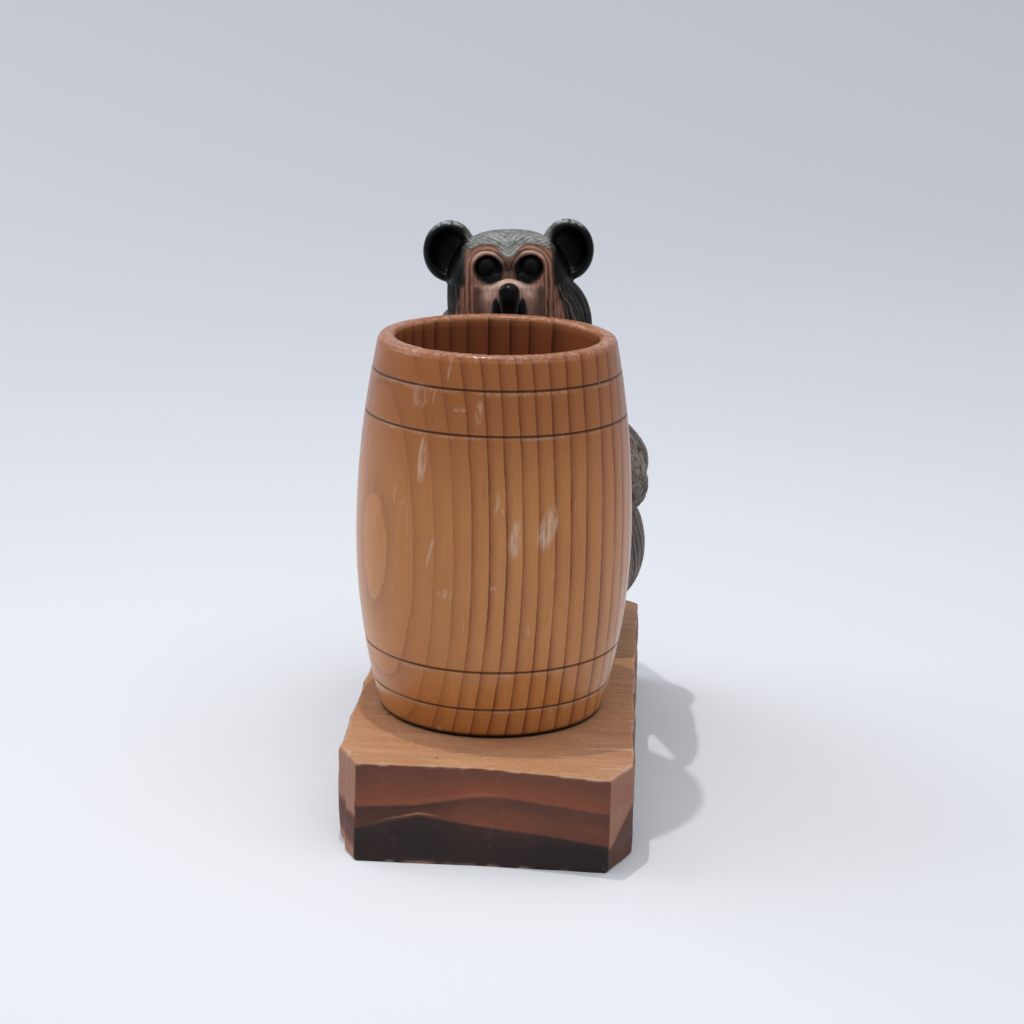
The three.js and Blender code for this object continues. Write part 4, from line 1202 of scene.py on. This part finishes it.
def head_skin():
    """Skull, cheeks, snout and ears melted into one skin, with sockets, bands, mouth and hair cut into it."""
    shells = [skull(), muzzle()]
    for side in (-1, 1):
        out, up = CHEEK[side]
        half = out * 0.45
        at = (side * (out - half), behind(168), up)
        shells.append(egg(at, (half, share(113), share(117))))
        shells.append(ear(side))
    points, quads = fused("bear_head", shells, HEAD_SQUARE)
    points = eased(points, quads, 4)
    normal = outward(points, quads)
    x, y, z = points.T
    across = np.abs(x)
    front = smooth(behind(150), behind(110), y)
    # Ears: the disc that stands clear of the head, and the dish in its front.
    on_ear = np.zeros(len(points))
    dish = np.zeros(len(points))
    for side in (-1, 1):
        out = np.hypot((side * x - EAR_AT[0]) / EAR_WIDE, (z - EAR_AT[2]) / EAR_TALL)
        beyond = smooth(share(95), share(112), side * x) * smooth(share(850), share(870), z)
        near = (1 - smooth(1.04, 1.12, out)) * beyond
        on_ear = np.maximum(on_ear, near)
        dish = np.maximum(dish, (1 - smooth(0.7, 0.8, out)) * near * (y < EAR_AT[1] + 1.0))
    # Eyes: the sockets, and the distance out from them that the brow bands follow.
    eye_away = np.hypot(across - EYE_X, z - EYE_Z)
    socket = 1 - smooth(SOCKET_R - 0.35, SOCKET_R + 0.45, eye_away)
    ring = np.where(z > EYE_Z, eye_away, across - EYE_X) - SOCKET_R
    # The brown face below the hairline, and the lighter snout inside it.
    seen = seen_height(y, z)
    edge = face_edge(seen)
    brow = hairline(across)
    face = smooth(edge + 0.5, edge - 0.5, across) * smooth(brow + 0.4, brow - 0.4, seen)
    face = face * front * (1 - on_ear)
    arch = snout_top(across)
    snout = face * smooth(arch + 0.25, arch - 0.25, seen) * smooth(10.6, 9.8, across)
    banded = face * (1 - snout) * smooth(-0.6, 0.2, ring)
    # Cuts: brow bands, locks of hair, furrows down the snout and a dent between the eyes.
    wavy_ring = ring + 0.45 * noise(points, 5.0) + 0.2 * noise(points, 2.2)
    bands = groove_wave(wavy_ring, BROW_BAND_PITCH)
    bands = bands * banded * (0.55 + 0.45 * smooth(-0.6, 0.2, noise(points, 4.0)))
    crest = z + 0.6 * (y - HEAD_Y) - 1.1 * across
    from_top = np.hypot(across, y - HEAD_Y)
    fall = np.arctan2(across, HEAD_Y - y) * 19.0
    down = np.where((seen > brow - 1.0) & (across < 13.0) & (y < HEAD_Y - 2.0), crest, fall)
    hair = down + 1.9 * noise(points, 8.0) + 0.5 * noise(points, 2.5)
    broken = 0.35 + 0.65 * smooth(-0.5, 0.3, noise(points, 3.2))
    locks = groove_wave(hair, HEAD_LOCK_PITCH) * broken
    locks = locks * (1 - face) * (1 - on_ear) * smooth(1.5, 5.0, from_top)
    furrows = groove_wave(x * (1.0 - 0.012 * seen) + 0.4 * noise(points, 4.0), FURROW_PITCH) * snout
    furrows = furrows * smooth(arch - 1.6, arch - 4.0, seen) * (0.6 + 0.4 * noise(points, 3.0))
    between = face * (1 - snout) * smooth(4.2, 2.6, across) * smooth(brow, brow - 2.5, seen)
    # The skin goes in along the cuts and swells along the bands and the snout's edge.
    rim = bump(seen - arch, -1.1, 1.7) * snout
    points = points - normal * (0.5 * bands + 0.45 * locks + 0.12 * furrows + 0.5 * between)[:, None]
    swell = 0.45 * rim + 0.45 * banded * bump(ring, 1.0, 1.3) * smooth(EYE_Z - 1.0, EYE_Z + 2.5, z)
    points = points + normal * (swell * front)[:, None]
    points[:, 1] += socket * front * 2.3
    mouth_line = bump(z, share(797) - 0.02 * x * x, 0.8) * snout * (y < behind(40))
    points[:, 1] += mouth_line * 0.9
    points = clear_of_barrel(points)
    # Stain and painted light: the grey crown, pale lines that are partly pale stain and partly painted
    # highlight on upward ridges, the painted shade under the eyes, and black.
    crown = smooth(brow - 0.3, brow + 0.5, seen) * smooth(13.5, 11.0, across) * (1 - on_ear)
    crown = np.maximum(crown * (1 - face), 0.0) * smooth(10.0, -5.0, y - HEAD_Y)
    under_eyes = snout * bump(seen - arch, -2.6, 3.4) * bump(across, 6.0, 3.2)
    # Painted highlight with pale stain: pale marks along the top of the snout's edge, under the eyes, and on
    # top of the bands over the eyes.
    light = np.maximum(0.9 * rim * smooth(9.0, 5.0, across), 0.75 * under_eyes)
    shade = snout * smooth(6.0, 10.0, across) * smooth(0.0, -3.0, seen - arch)
    light = np.maximum(light, 0.7 * banded * bump(ring, 0.8, 0.8) * smooth(EYE_Z + 1.5, EYE_Z + 3.5, z))
    ear_rim = on_ear * (1 - dish)
    black = np.clip(socket * front + dish + ear_rim + 0.35 * between + 0.5 * shade, 0.0, 1.0)
    kept = {
        "groove": np.clip(bands + locks + furrows + 0.6 * between, 0.0, 1.0),
        "strand": np.where(snout > 0.5, x, np.where(face > 0.5, ring, hair)),
        "rubbed": 0.3 + 0.2 * noise(points, 9.0),
        "crown": crown,
        "face": face * (1 - snout),
        "snout": snout,
        "light": np.clip(light * (0.6 + 0.5 * noise(points, 2.0)), 0.0, 1.0),
        "black": black,
        "gloss": np.clip(0.5 * dish + 0.6 * ear_rim, 0.0, 1.0),
        # Grey specks on the upward faces of the ear rims: partly worn paint, partly painted highlight.
        "edge": ear_rim * smooth(0.45, 0.95, normal[:, 2]),
    }
    return points, quads, kept


def plain_skin(shell, gloss):
    """A smooth black shell with no carved grooves, such as an eye or the nose."""
    points, faces = shell
    kept = {key: np.zeros(len(points)) for key in KEPT}
    kept["black"][:] = 1.0
    kept["gloss"][:] = gloss
    return points, faces, kept


def eyes_and_nose():
    """Two balls sunk in their sockets, the nose and the two lobes beside it."""
    skins = []
    depth = float(face_y(np.array(EYE_X), np.array(EYE_Z))) + EYE_R + 1.5
    for side in (-1, 1):
        skins.append(plain_skin(egg((side * EYE_X, depth, EYE_Z), (SOCKET_R, EYE_R, SOCKET_R), 40, 48), 0.2))
        skins.append(plain_skin(nostril(side), 0.7))
    skins.append(plain_skin(nose(), 1.0))
    return skins


def lean_head(points):
    """The head leans a little to one side, about the middle of the skull."""
    x, z = points[:, 0], points[:, 2] - HEAD_Z
    cos, sin = math.cos(-HEAD_TILT), math.sin(-HEAD_TILT)
    return np.stack([x * cos + z * sin, points[:, 1], -x * sin + z * cos + HEAD_Z], axis=-1)


def bear():
    """Body, leaning head, eyes and nose in one piece, shifted, turned and stood on the plank."""
    skins = [body_skin()]
    for points, faces, kept in [head_skin(), *eyes_and_nose()]:
        skins.append((clear_of_barrel(lean_head(points)), faces, kept))
    points, faces = joined([skin[:2] for skin in skins])
    kept = {key: np.concatenate([skin[2][key] for skin in skins]) for key in KEPT}
    x = points[:, 0] + BEAR_SHIFT
    y = points[:, 1]
    cos, sin = math.cos(BEAR_TURN), math.sin(BEAR_TURN)
    turned = np.stack([x * cos - y * sin, x * sin + y * cos, points[:, 2]], axis=-1)
    placed = turned + np.array([BARREL_X, BARREL_Y, FOOT_Z])
    return make_piece("carved_bear", placed / 1000.0, faces, kept, stained_carving())


# Stage, lights and camera.


def backdrop():
    """A pale sheet: flat under the object and far behind it, then curving up to a wall."""
    bend = np.linspace(0, math.pi / 2, 24)
    flat = np.stack([np.linspace(-2.0, 1.0, 24), np.zeros(24)], axis=-1)
    curve = np.stack([1.0 + 2.2 * np.sin(bend), 2.2 - 2.2 * np.cos(bend)], axis=-1)[1:]
    wall = np.stack([np.full(6, 3.2), np.linspace(2.4, 3.6, 6)], axis=-1)
    path = np.concatenate([flat, curve, wall])
    columns = 24
    wide = np.linspace(-3.5, 3.5, columns)
    grid = np.zeros((len(path), columns, 3))
    grid[..., 0] = wide
    grid[..., 1] = path[:, :1]
    grid[..., 2] = path[:, 1:]
    low = (np.arange(len(path) - 1)[:, None] * columns + np.arange(columns - 1)[None]).ravel()
    faces = np.stack([low, low + 1, low + columns + 1, low + columns], axis=-1)
    # Matt paper: no gloss, so the lamps leave only soft shadows on it.
    material, _, shader = new_material("matt white paper")
    shader.inputs["Base Color"].default_value = linear("#EBEDF0")
    shader.inputs["Roughness"].default_value = 0.9
    sheet = make_piece("backdrop", grid.reshape(-1, 3), faces, {}, material)


def lamp(name, place, target, size, power, colour):
    """A soft square light that looks at a point."""
    data = bpy.data.lights.new(name, "AREA")
    data.shape = "RECTANGLE"
    data.size, data.size_y = size
    data.energy = power
    data.color = linear(colour)[:3]
    light = bpy.data.objects.new(name, data)
    light.location = place
    direction = Vector(target) - Vector(place)
    light.rotation_euler = direction.to_track_quat("-Z", "Y").to_euler()
    bpy.context.scene.collection.objects.link(light)


def lights():
    """A small lamp almost overhead, a large window on the left behind, and a pale room all round."""
    lamp("lamp", (-0.046, -0.020, 0.480), (0.0, 0.0, 0.0), (0.008, 0.008), 0.60, "#FFFDFA")
    lamp("window", (-1.70, 0.55, 1.50), (0.0, 0.0, 0.05), (1.7, 1.4), 15.0, "#F4F7FF")
    lamp("ceiling", (0.28, -0.25, 1.30), (0.0, 0.0, 0.0), (1.6, 1.6), 6.1, "#FBFCFF")
    world = bpy.data.worlds.new("room")
    world.use_nodes = True
    room = world.node_tree.nodes["Background"]
    room.inputs["Color"].default_value = linear("#E9ECF3")
    room.inputs["Strength"].default_value = 0.56
    bpy.context.scene.world = world


# The camera's place in metres and its lens in millimetres, solved from the barrel's grooves and rim.
CAMERA_AT = (0.0372, -0.6408, 0.24845)
CAMERA_LENS = 80.89
CAMERA_FILM = 36.0


def camera():
    """The photograph's viewpoint: a long lens, 15 degrees above, three degrees to the right of the plank."""
    pitch, roll, yaw = math.radians(15.10), math.radians(1.24), math.radians(0.452) - BEAR_TURN
    ahead = Vector((math.sin(yaw) * math.cos(pitch), math.cos(yaw) * math.cos(pitch), -math.sin(pitch)))
    level = Vector((math.cos(yaw), -math.sin(yaw), 0.0))
    above = level.cross(ahead)
    right = level * math.cos(roll) + above * math.sin(roll)
    up = above * math.cos(roll) - level * math.sin(roll)
    data = bpy.data.cameras.new("photo camera")
    data.lens = CAMERA_LENS
    data.sensor_width = CAMERA_FILM
    data.clip_start = 0.01
    holder = bpy.data.objects.new("photo camera", data)
    turn = Matrix((right, up, -ahead)).transposed().to_4x4()
    holder.matrix_world = Matrix.Translation(CAMERA_AT) @ turn
    bpy.context.scene.collection.objects.link(holder)
    bpy.context.scene.camera = holder


camera()
lights()
backdrop()

for piece, node, slot_name in (
    (plank(), "plank_base", "hewn_softwood"),
    (barrel(), "barrel", "varnished_softwood"),
    (bear(), "bear", "stained_carving"),
):
    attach(piece, "root")
    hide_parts(node)
    print(piece.name, "triangles", sum(len(p.vertices) - 2 for p in piece.data.polygons))
